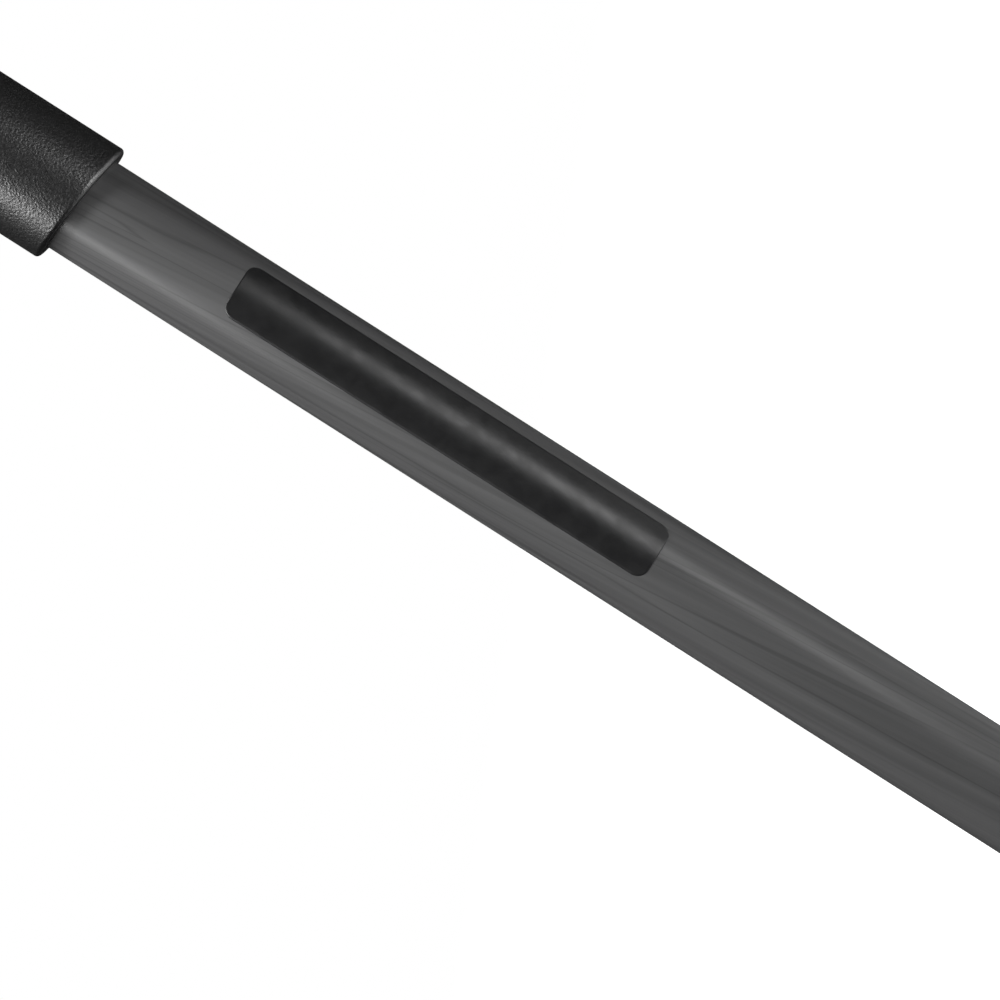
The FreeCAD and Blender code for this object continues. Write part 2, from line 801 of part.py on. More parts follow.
def stem():
    """Neck between the ball and the clamp, seated on the ball."""
    high = ball_centre + stem_height
    shelf = high - stem_flange_height
    body = turned([
        (0, ball_centre), (stem_radius, ball_centre), (stem_radius, shelf - stem_flange_radius + stem_radius),
        (stem_flange_radius, shelf), (stem_flange_radius, high), (0, high),
    ])
    thread = cylinder(clamp_screw_radius + glue_gap, high - clamp_screw_depth, high + overcut)
    return place_hub(body.cut([ball_space(), thread]))


def grip_knob(radius, length, shaft_radius, shaft_end, knob_start, lobes):
    """Lobed knob along X with its shaft, built about the X axis."""
    neck = radius * knob_neck_radius_share
    start = knob_start + knob_neck_length
    end = start + length
    body = turned([
        (0, knob_start), (neck, knob_start), (neck, start), (radius - lock_chamfer, start),
        (radius, start + lock_chamfer), (radius, end - lock_chamfer), (radius - lock_chamfer, end), (0, end),
    ])
    tool = cylinder(lobe_cut_radius, start - overcut, end + overcut,
                    (radius + lobe_cut_radius - lobe_cut_depth, 0))
    body = body.cut(around_z(tool, lobes))
    body = body.fuse(cylinder(shaft_radius, shaft_end, end - hex_depth)).removeSplitter()
    body.rotate(V(0, 0, 0), V(0, 1, 0), 90)
    return body


def ball_knob():
    """Main knob, whose shaft presses the cup against the ball."""
    knob = grip_knob(ball_knob_radius, ball_knob_length, ball_knob_shaft,
                     cup_radius - cup_seat_depth + free_gap, housing_radius + free_gap, ball_knob_lobes)
    return place_hub(lift(turn_z(knob, ball_knob_azimuth), head_level + ball_knob_height))


def pan_knob():
    """Small knob that stops the housing panning on its base."""
    knob = grip_knob(pan_knob_radius, pan_knob_length - knob_neck_length, pan_knob_shaft,
                     base_spigot_radius + free_gap, housing_radius + free_gap, pan_knob_lobes)
    return place_hub(lift(turn_z(knob, pan_knob_azimuth), head_level + pan_knob_height))


def jaw_profile(side, inner, outer):
    """Outline (x, z) of a dovetail jaw, from the clamp's underside to its lip."""
    land = dovetail_width / 2 + jaw_play
    neck = land - dovetail_step
    floor = clamp_level + clamp_base_height
    top = clamp_level + clamp_height
    level = plate_level + dovetail_land
    points = [
        (inner, clamp_level), (outer, clamp_level), (outer, top), (neck, top), (neck, level + dovetail_step),
        (land, level), (land, floor), (inner, floor),
    ]
    return [(side * x, z) for x, z in points]


def jaw_pins(radius, start, end):
    """The two guide pins of the moving jaw, along X."""
    level = clamp_level + clamp_knob_height
    pins = []
    for y in (-jaw_pin_spread, jaw_pin_spread):
        pins.append(rod(radius, V(start, y, level), V(end, y, level)))
    return pins


def clamp_body():
    """Base of the quick-release clamp with its fixed jaw."""
    half = clamp_length / 2
    outer = clamp_width / 2
    split = outer - jaw_width
    floor = clamp_level + clamp_base_height
    fixed = across(jaw_profile(1, -split, outer), half)
    level = clamp_level + clamp_knob_height
    cuts = jaw_pins(jaw_pin_radius + run_fit, -outer, -split + jaw_pin_length + free_gap)
    knob_tip = V(-outer + clamp_knob_reach + free_gap, 0, level)
    cuts.append(rod(clamp_knob_shaft + run_fit, V(-outer, 0, level), knob_tip))
    cuts.append(cylinder(clamp_screw_radius + run_fit, clamp_level - overcut, floor))
    head_low = floor - clamp_screw_head_height - 2 * free_gap
    cuts.append(cylinder(clamp_screw_head + free_gap, head_low, floor + overcut))
    return place_hub(fixed.cut(cuts))


def clamp_jaw():
    """Moving jaw of the clamp, guided by two pins."""
    outer = clamp_width / 2
    split = outer - jaw_width
    inner = split + free_gap
    body = across(jaw_profile(-1, inner, outer), clamp_length / 2)
    level = clamp_level + clamp_knob_height
    body = body.fuse(jaw_pins(jaw_pin_radius, -inner - overcut, -split + jaw_pin_length))
    bore = rod(clamp_knob_shaft + run_fit, V(-outer - overcut, 0, level), V(-inner + overcut, 0, level))
    return place_hub(body.removeSplitter().cut(bore))


def clamp_knob():
    """Knob and screw that close the moving jaw."""
    outer = clamp_width / 2
    tip = outer - clamp_knob_reach
    knob = grip_knob(clamp_knob_radius, clamp_knob_length - knob_neck_length, clamp_knob_shaft, tip,
                     outer + free_gap, clamp_knob_lobes)
    return place_hub(lift(turn_z(knob, 180), clamp_level + clamp_knob_height))


def clamp_screw():
    """Screw that holds the clamp on the stem."""
    top = ball_centre + stem_height
    head_low = clamp_level + clamp_base_height - clamp_screw_head_height - free_gap
    head_high = head_low + clamp_screw_head_height
    shank = cylinder(clamp_screw_radius, top - clamp_screw_depth + free_gap, head_high)
    head = cylinder(clamp_screw_head, head_low, head_high)
    key = plate(hex_socket(0), head_high - hex_depth, head_high + overcut)
    return place_hub(shank.fuse(head).removeSplitter().cut(key))


def rounded_slab(width, length, corner, low, high):
    """Upright prism with a rounded rectangular outline."""
    wire = rounded_section(-width / 2, width / 2, length / 2, corner, low)
    return Part.Face(wire).extrude(V(0, 0, high - low))


def quick_plate():
    """Quick-release plate with dovetail flanks and the camera screw's recess."""
    land = dovetail_width / 2
    neck = land - dovetail_step
    level = plate_level + dovetail_land
    outline = [
        (-land, plate_level), (land, plate_level), (land, level), (neck, level + dovetail_step),
        (neck, flange_level), (-neck, flange_level), (-neck, level + dovetail_step), (-land, level),
    ]
    body = across(outline, qr_length / 2)
    body = body.common(rounded_slab(qr_width, qr_length, qr_corner, plate_level, flange_level))
    body = body.fuse(rounded_slab(qr_width, qr_length, qr_corner, flange_level, pad_level))
    recess_top = plate_level + camera_screw_head_height + 2 * free_gap
    recess = cylinder(camera_screw_head + free_gap, plate_level - overcut, recess_top)
    hole = cylinder(camera_screw_radius + slide_fit, plate_level, pad_level + overcut)
    return place_hub(body.removeSplitter().cut([recess, hole]))


def plate_pad():
    """Rubber pad on the plate that the camera stands on."""
    pad = rounded_slab(qr_width - 2 * pad_margin, qr_length - 2 * pad_margin, qr_corner - pad_margin / 2,
                       pad_level, pad_level + pad_thickness)
    hole = cylinder(camera_screw_radius + free_gap, pad_level - overcut, pad_level + pad_thickness + overcut)
    return place_hub(pad.cut(hole))


def camera_screw():
    """Quarter-inch screw that holds the camera, with its slotted head under the plate."""
    low = plate_level + free_gap
    thread_low = pad_level + pad_thickness
    head = cylinder(camera_screw_head, low, low + camera_screw_head_height)
    neck = cylinder(camera_screw_neck, low, thread_low + overcut)
    thread = cylinder(camera_screw_radius, thread_low, thread_low + camera_screw_height)
    slot = box((-2 * camera_screw_head, 2 * camera_screw_head), (-coin_slot_width / 2, coin_slot_width / 2),
               (low - overcut, low + coin_slot_depth))
    return place_hub(head.fuse([neck, thread]).removeSplitter().cut(slot))


def leg_nodes():
    """The pieces of one leg, each built once on a leg that hangs from the origin."""
    return {
        "leg_casting": leg_casting(),
        "angle_tab": angle_tab(),
        "upper_tube": leg_tube(0),
        "second_tube": leg_tube(1),
        "third_tube": leg_tube(2),
        "lower_tube": leg_tube(3),
        "upper_lock": twist_lock(0),
        "middle_lock": twist_lock(1),
        "lower_lock": twist_lock(2),
        "foot": foot(),
        "foot_stud": foot_stud(),
    }


def all_nodes():
    """Every node of the tripod by name."""
    nodes = {}
    for name, shape in leg_nodes().items():
        for leg in leg_azimuth:
            nodes[name + "_" + leg] = place_leg(shape, leg)
    centre = [
        spider, pivot_bolts, level_vial, column_bush, column_lock, column_tube, column_plate, head_stud,
        head_set_screws, column_cap, bag_hook, head_base, head_housing, retaining_ring, pressure_cup, ball,
        stem, ball_knob, pan_knob, clamp_body, clamp_jaw, clamp_knob, clamp_screw, quick_plate, plate_pad,
        camera_screw,
    ]
    for make in centre:
        nodes[make.__name__] = make()
    return nodes


os.makedirs("parts", exist_ok=True)
for name, shape in all_nodes().items():
    shape.exportStep("parts/" + name + ".step")
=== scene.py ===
import json
import math

import bmesh
import bpy
import numpy as np
from mathutils import Matrix, Vector

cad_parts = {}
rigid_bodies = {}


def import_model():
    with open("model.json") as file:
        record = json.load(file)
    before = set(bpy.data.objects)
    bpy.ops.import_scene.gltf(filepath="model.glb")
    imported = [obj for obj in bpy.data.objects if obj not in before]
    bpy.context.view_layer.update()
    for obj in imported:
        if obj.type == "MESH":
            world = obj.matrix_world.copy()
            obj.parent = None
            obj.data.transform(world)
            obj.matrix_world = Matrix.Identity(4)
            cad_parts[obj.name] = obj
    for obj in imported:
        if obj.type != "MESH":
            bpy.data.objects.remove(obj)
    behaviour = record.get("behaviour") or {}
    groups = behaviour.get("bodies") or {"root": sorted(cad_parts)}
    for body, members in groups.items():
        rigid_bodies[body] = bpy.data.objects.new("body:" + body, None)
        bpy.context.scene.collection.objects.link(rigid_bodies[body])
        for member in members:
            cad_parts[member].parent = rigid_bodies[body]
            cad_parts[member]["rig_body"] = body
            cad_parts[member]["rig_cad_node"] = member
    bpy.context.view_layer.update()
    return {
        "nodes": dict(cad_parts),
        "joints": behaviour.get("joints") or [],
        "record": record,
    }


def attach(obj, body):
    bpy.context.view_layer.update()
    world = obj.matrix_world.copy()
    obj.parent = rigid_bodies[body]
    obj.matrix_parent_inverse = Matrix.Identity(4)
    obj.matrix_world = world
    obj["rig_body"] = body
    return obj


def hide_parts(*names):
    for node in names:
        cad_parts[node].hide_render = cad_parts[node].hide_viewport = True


# A camera tripod on its three legs, dressed over the CAD frame. Metres.
# Every piece carries its own coordinates in the attribute "piece_xyz": x outward, y across,
# z along the piece's axis, so that grain and streaks follow the piece and not the room.

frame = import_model()
nodes = frame["nodes"]
joints = {joint["name"]: joint for joint in frame["joints"]}
MM = 0.001
LEGS = ("a", "b", "c")
UP = np.array((0.0, 0.0, 1.0))


# Places, worked out from the frame

def joint_place(name):
    """Point and unit axis of a joint."""
    joint = joints[name]
    axis = np.array(joint["axis"], float)
    return np.array(joint.get("pos_m", (0, 0, 0)), float), axis / np.linalg.norm(axis)


class Place:
    """A piece's own axes: origin, and unit vectors outward (x), across (y) and along (z)."""

    def __init__(self, origin, outward, along):
        self.origin = np.array(origin, float)
        self.z = np.array(along, float) / np.linalg.norm(along)
        out = np.array(outward, float)
        out = out - self.z * out.dot(self.z)
        self.x = out / np.linalg.norm(out)
        self.y = np.cross(self.z, self.x)

    def to_world(self, points):
        """Own coordinates into the scene's: origin plus each coordinate times its axis."""
        points = np.asarray(points, float)
        return self.origin + points @ np.array([self.x, self.y, self.z])

    def to_own(self, points):
        """The scene's coordinates into own ones: the offset from the origin along each axis."""
        return (np.asarray(points, float) - self.origin) @ np.array([self.x, self.y, self.z]).T


def leg_place(leg):
    """A leg's axes: origin at its pivot, z down the leg, x away from the column."""
    pivot, _ = joint_place("leg_fold_" + leg)
    _, down = joint_place("second_section_" + leg)
    return Place(pivot, (pivot[0], pivot[1], 0), down)


leg_places = {leg: leg_place(leg) for leg in LEGS}
centre_place = Place((0, 0, 0), (1, 0, 0), UP)

body_of = {}
for body, members in frame["record"]["behaviour"]["bodies"].items():
    for member in members:
        body_of[member] = body


def own_box(node, place):
    """Lowest and highest corner of a CAD node in a piece's own axes."""
    mesh = nodes[node].data
    co = np.empty(len(mesh.vertices) * 3, np.float32)
    mesh.vertices.foreach_get("co", co)
    own = place.to_own(co.reshape(-1, 3))
    return own.min(0), own.max(0)


# Meshes from arrays

WELD = 0.001 * MM
CAD_WELD = 0.002 * MM
FLAT_ANGLE = math.radians(0.2)
CAD_SMOOTH = math.radians(32)
EASE_FROM = math.radians(40)
EASE_STEPS = 2
ALMOST_STRAIGHT = math.radians(89.5)


def mesh_object(name, points, faces, place, smooth_angle=40.0):
    """Object from own-frame points and faces, with its own coordinates kept as an attribute."""
    mesh = bpy.data.meshes.new(name)
    mesh.from_pydata(place.to_world(points).tolist(), [], [list(face) for face in faces])
    mesh.validate()
    bm = bmesh.new()
    bm.from_mesh(mesh)
    bmesh.ops.remove_doubles(bm, verts=bm.verts, dist=WELD)
    bmesh.ops.recalc_face_normals(bm, faces=bm.faces)
    bm.to_mesh(mesh)
    bm.free()
    keep_own_coordinates(mesh, place)
    mesh.shade_smooth()
    mesh.set_sharp_from_angle(angle=math.radians(smooth_angle))
    piece = bpy.data.objects.new(name, mesh)
    bpy.context.scene.collection.objects.link(piece)
    return piece


def keep_own_coordinates(mesh, place):
    """Store each vertex's place in the piece's own axes, in metres."""
    co = np.empty(len(mesh.vertices) * 3, np.float32)
    mesh.vertices.foreach_get("co", co)
    own = place.to_own(co.reshape(-1, 3)).astype(np.float32)
    layer = mesh.attributes.new("piece_xyz", "FLOAT_VECTOR", "POINT")
    layer.data.foreach_set("vector", own.ravel())


def grid_faces(rows, columns, closed_rows, closed_columns):
    """Quads of a rows by columns grid; a closed direction joins its last line to its first."""
    i = np.arange(rows if closed_rows else rows - 1)
    j = np.arange(columns if closed_columns else columns - 1)
    i, j = [a.ravel() for a in np.meshgrid(i, j, indexing="ij")]
    i_next = (i + 1) % rows
    j_next = (j + 1) % columns
    corners = [(i, j), (i, j_next), (i_next, j_next), (i_next, j)]
    return np.stack([row * columns + column for row, column in corners], 1)


def rounded(outline, size, steps, closed=True):
    """Outline with its corners rounded: each becomes an arc of a radius, touching both its sides."""
    outline = np.array(outline, float)
    apart = np.linalg.norm(outline - np.roll(outline, 1, 0), axis=1) > 0.1 * WELD
    outline = outline[apart]
    count = len(outline)
    result = []
    for k in range(count):
        corner = outline[k]
        if not closed and k in (0, count - 1):
            result.append(corner[None])
            continue
        back = outline[k - 1] - corner
        ahead = outline[(k + 1) % count] - corner
        back_length, ahead_length = np.linalg.norm(back), np.linalg.norm(ahead)
        back, ahead = back / back_length, ahead / ahead_length
        half = math.acos(float(np.clip(back.dot(ahead), -1, 1))) / 2
        if half > ALMOST_STRAIGHT:
            result.append(corner[None])
            continue
        reach = min(size / math.tan(half), 0.49 * back_length, 0.49 * ahead_length)
        radius = reach * math.tan(half)
        middle = corner + (back + ahead) / np.linalg.norm(back + ahead) * radius / math.sin(half)
        start, end = corner + back * reach - middle, corner + ahead * reach - middle
        turn = math.pi - 2 * half
        t = np.linspace(0, 1, steps + 1)[:, None]
        arc = (np.sin((1 - t) * turn) * start + np.sin(t * turn) * end) / math.sin(turn)
        result.append(middle + arc)
    return np.concatenate(result)


def dense(outline, step):
    """Outline with points added so that none of its sides is longer than a step."""
    outline = np.asarray(outline, float)
    result = []
    for start, end in zip(outline, np.roll(outline, -1, 0)):
        count = max(1, int(math.ceil(np.linalg.norm(end - start) / step)))
        result.append(start + (end - start) * np.linspace(0, 1, count, endpoint=False)[:, None])
    return np.concatenate(result)


def round_points(outline, segments, waves=None):
    """Points of an outline turned about z: (r cos a, r sin a, height) for each of its points.

    waves(angle, radius, height) returns a radius change, so that grips and treads are part of
    the same surface. A point on the axis stays there.
    """
    outline = np.asarray(outline, float)
    angle = np.linspace(0, 2 * math.pi, segments, endpoint=False)
    radius = outline[:, 0][:, None] + np.zeros(segments)
    height = outline[:, 1][:, None] + np.zeros(segments)
    if waves is not None:
        radius = np.where(radius > 0.1 * WELD, radius + waves(angle[None, :], radius, height), radius)
    return np.stack([radius * np.cos(angle), radius * np.sin(angle), height], 2).reshape(-1, 3)


def turned(name, outline, place, segments=96, closed=True, waves=None):
    """Surface of revolution: an outline of (radius, height) goes round the piece's own z."""
    points = round_points(outline, segments, waves)
    return mesh_object(name, points, grid_faces(len(outline), segments, closed, True), place)


def turned_together(name, outlines, place, segments):
    """One mesh from several closed outlines, each turned about the piece's own z."""
    points, faces, start = [], [], 0
    for outline in outlines:
        points.append(round_points(outline, segments))
        faces.append(grid_faces(len(outline), segments, True, True) + start)
        start += len(points[-1])
    return mesh_object(name, np.concatenate(points), np.concatenate(faces), place)


def smooth_copy(node, place, bevel=0.0):
    """Merged copy of a CAD node with smooth curved faces and, where asked, eased edges."""
    copy = nodes[node].copy()
    copy.data = nodes[node].data.copy()
    copy.name = node + "_dressed"
    copy.parent = None
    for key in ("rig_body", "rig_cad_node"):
        if key in copy:
            del copy[key]
    bpy.context.scene.collection.objects.link(copy)
    bm = bmesh.new()
    bm.from_mesh(copy.data)
    bmesh.ops.remove_doubles(bm, verts=bm.verts, dist=CAD_WELD)
    bmesh.ops.dissolve_degenerate(bm, edges=bm.edges, dist=WELD)
    bmesh.ops.dissolve_limit(
        bm, angle_limit=FLAT_ANGLE, verts=bm.verts, edges=bm.edges, delimit=set())
    bm.to_mesh(copy.data)
    bm.free()
    copy.data.shade_smooth()
    copy.data.set_sharp_from_angle(angle=CAD_SMOOTH)
    keep_own_coordinates(copy.data, place)
    if bevel:
        edge = copy.modifiers.new("eased_edges", "BEVEL")
        edge.width = bevel
        edge.segments = EASE_STEPS
        edge.limit_method = "ANGLE"
        edge.angle_limit = EASE_FROM
        edge.harden_normals = False
    flats = copy.modifiers.new("flat_faces", "WEIGHTED_NORMAL")
    flats.keep_sharp = True
    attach(copy, body_of[node])
    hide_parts(node)
    return copy


# Materials

def new_group(name, inputs, outputs):
    """Empty shader node group with named inputs (name, kind, default) and outputs (name, kind)."""
    group = bpy.data.node_groups.new(name, "ShaderNodeTree")
    for label, kind, default in inputs:
        socket = group.interface.new_socket(label, in_out="INPUT", socket_type="NodeSocket" + kind)
        socket.default_value = default
    for label, kind in outputs:
        group.interface.new_socket(label, in_out="OUTPUT", socket_type="NodeSocket" + kind)
    return group, group.nodes.new("NodeGroupInput"), group.nodes.new("NodeGroupOutput")


def feed(tree, socket, value):
    """Set a number or a colour on a socket, or link another node's output to it."""
    if isinstance(value, (int, float)):
        socket.default_value = value
    elif isinstance(value, tuple):
        socket.default_value = value + (1.0,)
    else:
        tree.links.new(value, socket)


def math_node(tree, operation, *values):
    """Math node on links or numbers; returns its output."""
    node = tree.nodes.new("ShaderNodeMath")
    node.operation = operation
    for socket, value in zip(node.inputs, values):
        feed(tree, socket, value)
    return node.outputs[0]


def noise_node(tree, vector, scale, detail=2.0, roughness=0.5, distortion=0.0):
    """Noise on a vector; returns its value output, 0 to 1."""
    node = tree.nodes.new("ShaderNodeTexNoise")
    tree.links.new(vector, node.inputs["Vector"])
    node.inputs["Scale"].default_value = scale
    node.inputs["Detail"].default_value = detail
    node.inputs["Roughness"].default_value = roughness
    node.inputs["Distortion"].default_value = distortion
    return node.outputs[0]


def range_node(tree, value, low, high, to_low, to_high):
    """Value carried from one range to another, held at its ends."""
    node = tree.nodes.new("ShaderNodeMapRange")
    tree.links.new(value, node.inputs["Value"])
    ends = {"From Min": low, "From Max": high, "To Min": to_low, "To Max": to_high}
    for label, number in ends.items():
        node.inputs[label].default_value = number
    return node.outputs["Result"]


def own_vector(tree):
    """The piece's own coordinates in metres."""
    node = tree.nodes.new("ShaderNodeAttribute")
    node.attribute_name = "piece_xyz"
    return node.outputs["Vector"]


def mixed(tree, factor, first, second, kind="RGBA"):
    """Colour or, with kind FLOAT, number between two, by a factor; each may be a link."""
    node = tree.nodes.new("ShaderNodeMix")
    node.data_type = kind
    for label, value in (("Factor", factor), ("A", first), ("B", second)):
        feed(tree, node.inputs[label], value)
    return node.outputs["Result"]


GRAIN_DEPTH = 0.14 * MM


def build_fine_grain():
    """Cast grain: two sizes of noise give a height, and the low places are a little duller."""
    group, given, out = new_group(
        "fine_grain",
        [("Vector", "Vector", (0, 0, 0)), ("Size", "Float", 0.5 * MM), ("Strength", "Float", 0.5)],
        [("Normal", "Vector"), ("Pits", "Float")])
    scale = math_node(group, "DIVIDE", 1.0, given.outputs["Size"])
    scaled = group.nodes.new("ShaderNodeVectorMath")
    scaled.operation = "SCALE"
    group.links.new(given.outputs["Vector"], scaled.inputs[0])
    group.links.new(scale, scaled.inputs["Scale"])
    vector = scaled.outputs[0]
    coarse = noise_node(group, vector, 1.0, 2.0, 0.6, 0.4)
    cells = group.nodes.new("ShaderNodeTexVoronoi")
    cells.feature = "SMOOTH_F1"
    group.links.new(vector, cells.inputs["Vector"])
    cells.inputs["Scale"].default_value = 0.9
    height = math_node(group, "ADD", math_node(group, "MULTIPLY", coarse, 0.7),
                       math_node(group, "MULTIPLY", cells.outputs["Distance"], -0.5))
    bump = group.nodes.new("ShaderNodeBump")
    bump.inputs["Distance"].default_value = GRAIN_DEPTH
    group.links.new(given.outputs["Strength"], bump.inputs["Strength"])
    group.links.new(height, bump.inputs["Height"])
    group.links.new(bump.outputs["Normal"], out.inputs["Normal"])
    group.links.new(range_node(group, coarse, 0.35, 0.65, 1.0, 0.0), out.inputs["Pits"])
    return group


def build_streaks():
    """Long fine streaks: noise stretched along z, turned a little about z as it goes down.

    Lines are drawn where a broader stretched noise crosses one of five levels, as in wood grain.
    """
    group, given, out = new_group(
        "long_streaks",
        [("Vector", "Vector", (0, 0, 0)), ("Turn", "Float", 8.0), ("Width", "Float", 1.0 * MM),
         ("Stretch", "Float", 45.0)],
        [("Fine", "Float"), ("Broad", "Float"), ("Lines", "Float")])
    split = group.nodes.new("ShaderNodeSeparateXYZ")
    group.links.new(given.outputs["Vector"], split.inputs[0])
    angle = math_node(group, "MULTIPLY", split.outputs["Z"], given.outputs["Turn"])
    spun = group.nodes.new("ShaderNodeVectorRotate")
    spun.rotation_type = "Z_AXIS"
    group.links.new(given.outputs["Vector"], spun.inputs["Vector"])
    group.links.new(angle, spun.inputs["Angle"])
    flat = group.nodes.new("ShaderNodeSeparateXYZ")
    group.links.new(spun.outputs[0], flat.inputs[0])
    stretched = group.nodes.new("ShaderNodeCombineXYZ")
    width = given.outputs["Width"]
    for axis in ("X", "Y"):
        across = math_node(group, "DIVIDE", flat.outputs[axis], width)
        group.links.new(across, stretched.inputs[axis])
    along = math_node(group, "DIVIDE", flat.outputs["Z"], width)
    along = math_node(group, "DIVIDE", along, given.outputs["Stretch"])
    group.links.new(along, stretched.inputs["Z"])
    fine = noise_node(group, stretched.outputs[0], 1.0, 3.0, 0.55, 0.6)
    broad = noise_node(group, stretched.outputs[0], 0.28, 1.0, 0.5, 0.8)
    contour = noise_node(group, stretched.outputs[0], 0.16, 2.0, 0.45, 1.2)
    level = math_node(group, "FRACT", math_node(group, "MULTIPLY", contour, 5.0))
    off = math_node(group, "ABSOLUTE", math_node(group, "SUBTRACT", level, 0.5))
    group.links.new(fine, out.inputs["Fine"])
    group.links.new(broad, out.inputs["Broad"])
    group.links.new(range_node(group, off, 0.0, 0.11, 1.0, 0.0), out.inputs["Lines"])
    return group


FINE_GRAIN = build_fine_grain()
LONG_STREAKS = build_streaks()


def place_group(tree, group, values):
    """The group as a node, with its numbers set and the piece's own coordinates linked."""
    node = tree.nodes.new("ShaderNodeGroup")
    node.node_tree = group
    for label, value in values.items():
        node.inputs[label].default_value = value
    tree.links.new(own_vector(tree), node.inputs["Vector"])
    return node


def new_material(name, metallic=0.0, roughness=0.5, colour=(0.5, 0.5, 0.5), **sockets):
    """Principled material; the remaining constants go straight on its own sockets."""
    material = bpy.data.materials.new(name)
    material.use_nodes = True
    tree = material.node_tree
    shader = tree.nodes["Principled BSDF"]
    shader.inputs["Base Color"].default_value = tuple(colour) + (1.0,)
    shader.inputs["Metallic"].default_value = metallic
    shader.inputs["Roughness"].default_value = roughness
    for label, value in sockets.items():
        shader.inputs[label.replace("_", " ")].default_value = value
    return material, tree, shader


def grained(name, colour, roughness, size, strength, metallic=0.0, pit_shade=0.75, **sockets):
    """Material with fine grain: bumps, and pits that are a little darker and rougher."""
    material, tree, shader = new_material(name, metallic, roughness, colour, **sockets)
    grain = place_group(tree, FINE_GRAIN, {"Size": size, "Strength": strength})
    dark = tuple(c * pit_shade for c in colour)
    shade = mixed(tree, grain.outputs["Pits"], colour, dark)
    tree.links.new(shade, shader.inputs["Base Color"])
    rough = range_node(tree, grain.outputs["Pits"], 0, 1, roughness - 0.04, roughness + 0.06)
    tree.links.new(rough, shader.inputs["Roughness"])
    tree.links.new(grain.outputs["Normal"], shader.inputs["Normal"])
    return material


def streaked(name, colour, roughness, **sockets):
    """Dark grey tube finish: fine darker streaks, broad soft ones and thin lines along the tube."""
    material, tree, shader = new_material(name, 0.0, roughness, colour, **sockets)
    streaks = place_group(tree, LONG_STREAKS, {"Width": STREAK_WIDTH})
    fine = range_node(tree, streaks.outputs["Fine"], 0.30, 0.62, 0.86, 1.0)
    broad = range_node(tree, streaks.outputs["Broad"], 0.3, 0.7, 0.8, 1.1)
    lines = range_node(tree, streaks.outputs["Lines"], 0.0, 1.0, 1.0, 0.74)
    shade = math_node(tree, "MULTIPLY", math_node(tree, "MULTIPLY", fine, broad), lines)
    node = tree.nodes.new("ShaderNodeVectorMath")
    node.operation = "SCALE"
    node.inputs[0].default_value = colour
    tree.links.new(shade, node.inputs["Scale"])
    tree.links.new(node.outputs[0], shader.inputs["Base Color"])
    rough = range_node(tree, streaks.outputs["Fine"], 0.3, 0.7, roughness + 0.06, roughness - 0.04)
    tree.links.new(rough, shader.inputs["Roughness"])
    return material


STREAK_WIDTH = 1.2 * MM
TUBE_FINISH = {
    "roughness": 0.52, "Specular_IOR_Level": 0.12, "Coat_Weight": 0.45, "Coat_Roughness": 0.32}

cast_black = grained("cast_black", (0.005, 0.005, 0.0052), 0.36, 0.45 * MM, 0.8,
                     IOR=1.75, Specular_IOR_Level=0.85)
tube_grey = streaked("tube_grey", (0.102, 0.102, 0.103), **TUBE_FINISH)
inner_tube_grey = streaked("inner_tube_grey", (0.096, 0.096, 0.097), **TUBE_FINISH)
grip_rubber = grained("grip_rubber", (0.018, 0.018, 0.018), 0.6, 0.4 * MM, 0.35,
                      Specular_IOR_Level=0.35)
foot_rubber = grained("foot_rubber", (0.018, 0.018, 0.018), 0.68, 0.6 * MM, 0.4)
moulded_black = grained("moulded_black", (0.025, 0.025, 0.026), 0.5, 0.5 * MM, 0.3)
anodised_black = grained("anodised_black", (0.03, 0.03, 0.032), 0.34, 0.2 * MM, 0.2, metallic=0.6)
blackened_steel = grained("blackened_steel", (0.045, 0.045, 0.047), 0.35, 0.3 * MM, 0.2, metallic=0.8)
machined_steel = grained("machined_steel", (0.52, 0.52, 0.53), 0.28, 0.3 * MM, 0.1,
                         metallic=1.0, pit_shade=0.9)
ball_black = grained("ball_black", (0.05, 0.05, 0.053), 0.25, 0.2 * MM, 0.1, metallic=0.7)
pad_rubber = grained("pad_rubber", (0.028, 0.028, 0.028), 0.7, 0.5 * MM, 0.5)
label_black = grained("label_black", (0.012, 0.012, 0.0125), 0.36, 4 * MM, 0.03, pit_shade=0.9)


def paint(piece, material):
    """Give a piece one material."""
    piece.data.materials.clear()
    piece.data.materials.append(material)
    return piece


def finish_piece(piece, node, material):
    """Paint a new piece, let it stand for its CAD node and ride on that node's body."""
    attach(paint(piece, material), body_of[node])
    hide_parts(node)


# Tubes

TUBE_SEGMENTS = 128
TUBE_RADII = (11.25 * MM, 9.6 * MM, 7.95 * MM, 6.3 * MM)
TUBE_WALL = 1.0 * MM
TUBE_NODES = ("upper_tube_", "second_tube_", "third_tube_", "lower_tube_")
LOCK_NODES = ("upper_lock_", "middle_lock_", "lower_lock_")
FERRULE_WALL = 1.5 * MM
COLLET_LENGTH = 22 * MM
GUIDE_LENGTH = 14 * MM
LIP = 1.5 * MM
FERRULE_GAP = 0.3 * MM
SLIDE_GAP = 0.1 * MM
COLUMN_WALL = 1.5 * MM
COLUMN_EDGE = 0.3 * MM
GROOVE_HALF = 1.5 * MM
GROOVE_DEPTH = 0.9 * MM
GROOVE_SIDE = 0.004


def wall(outer, inner, low, high, edge):
    """Closed outline of a tube's wall, its four corners rounded."""
    return rounded([(inner, low), (outer, low), (outer, high), (inner, high)], edge, 3)


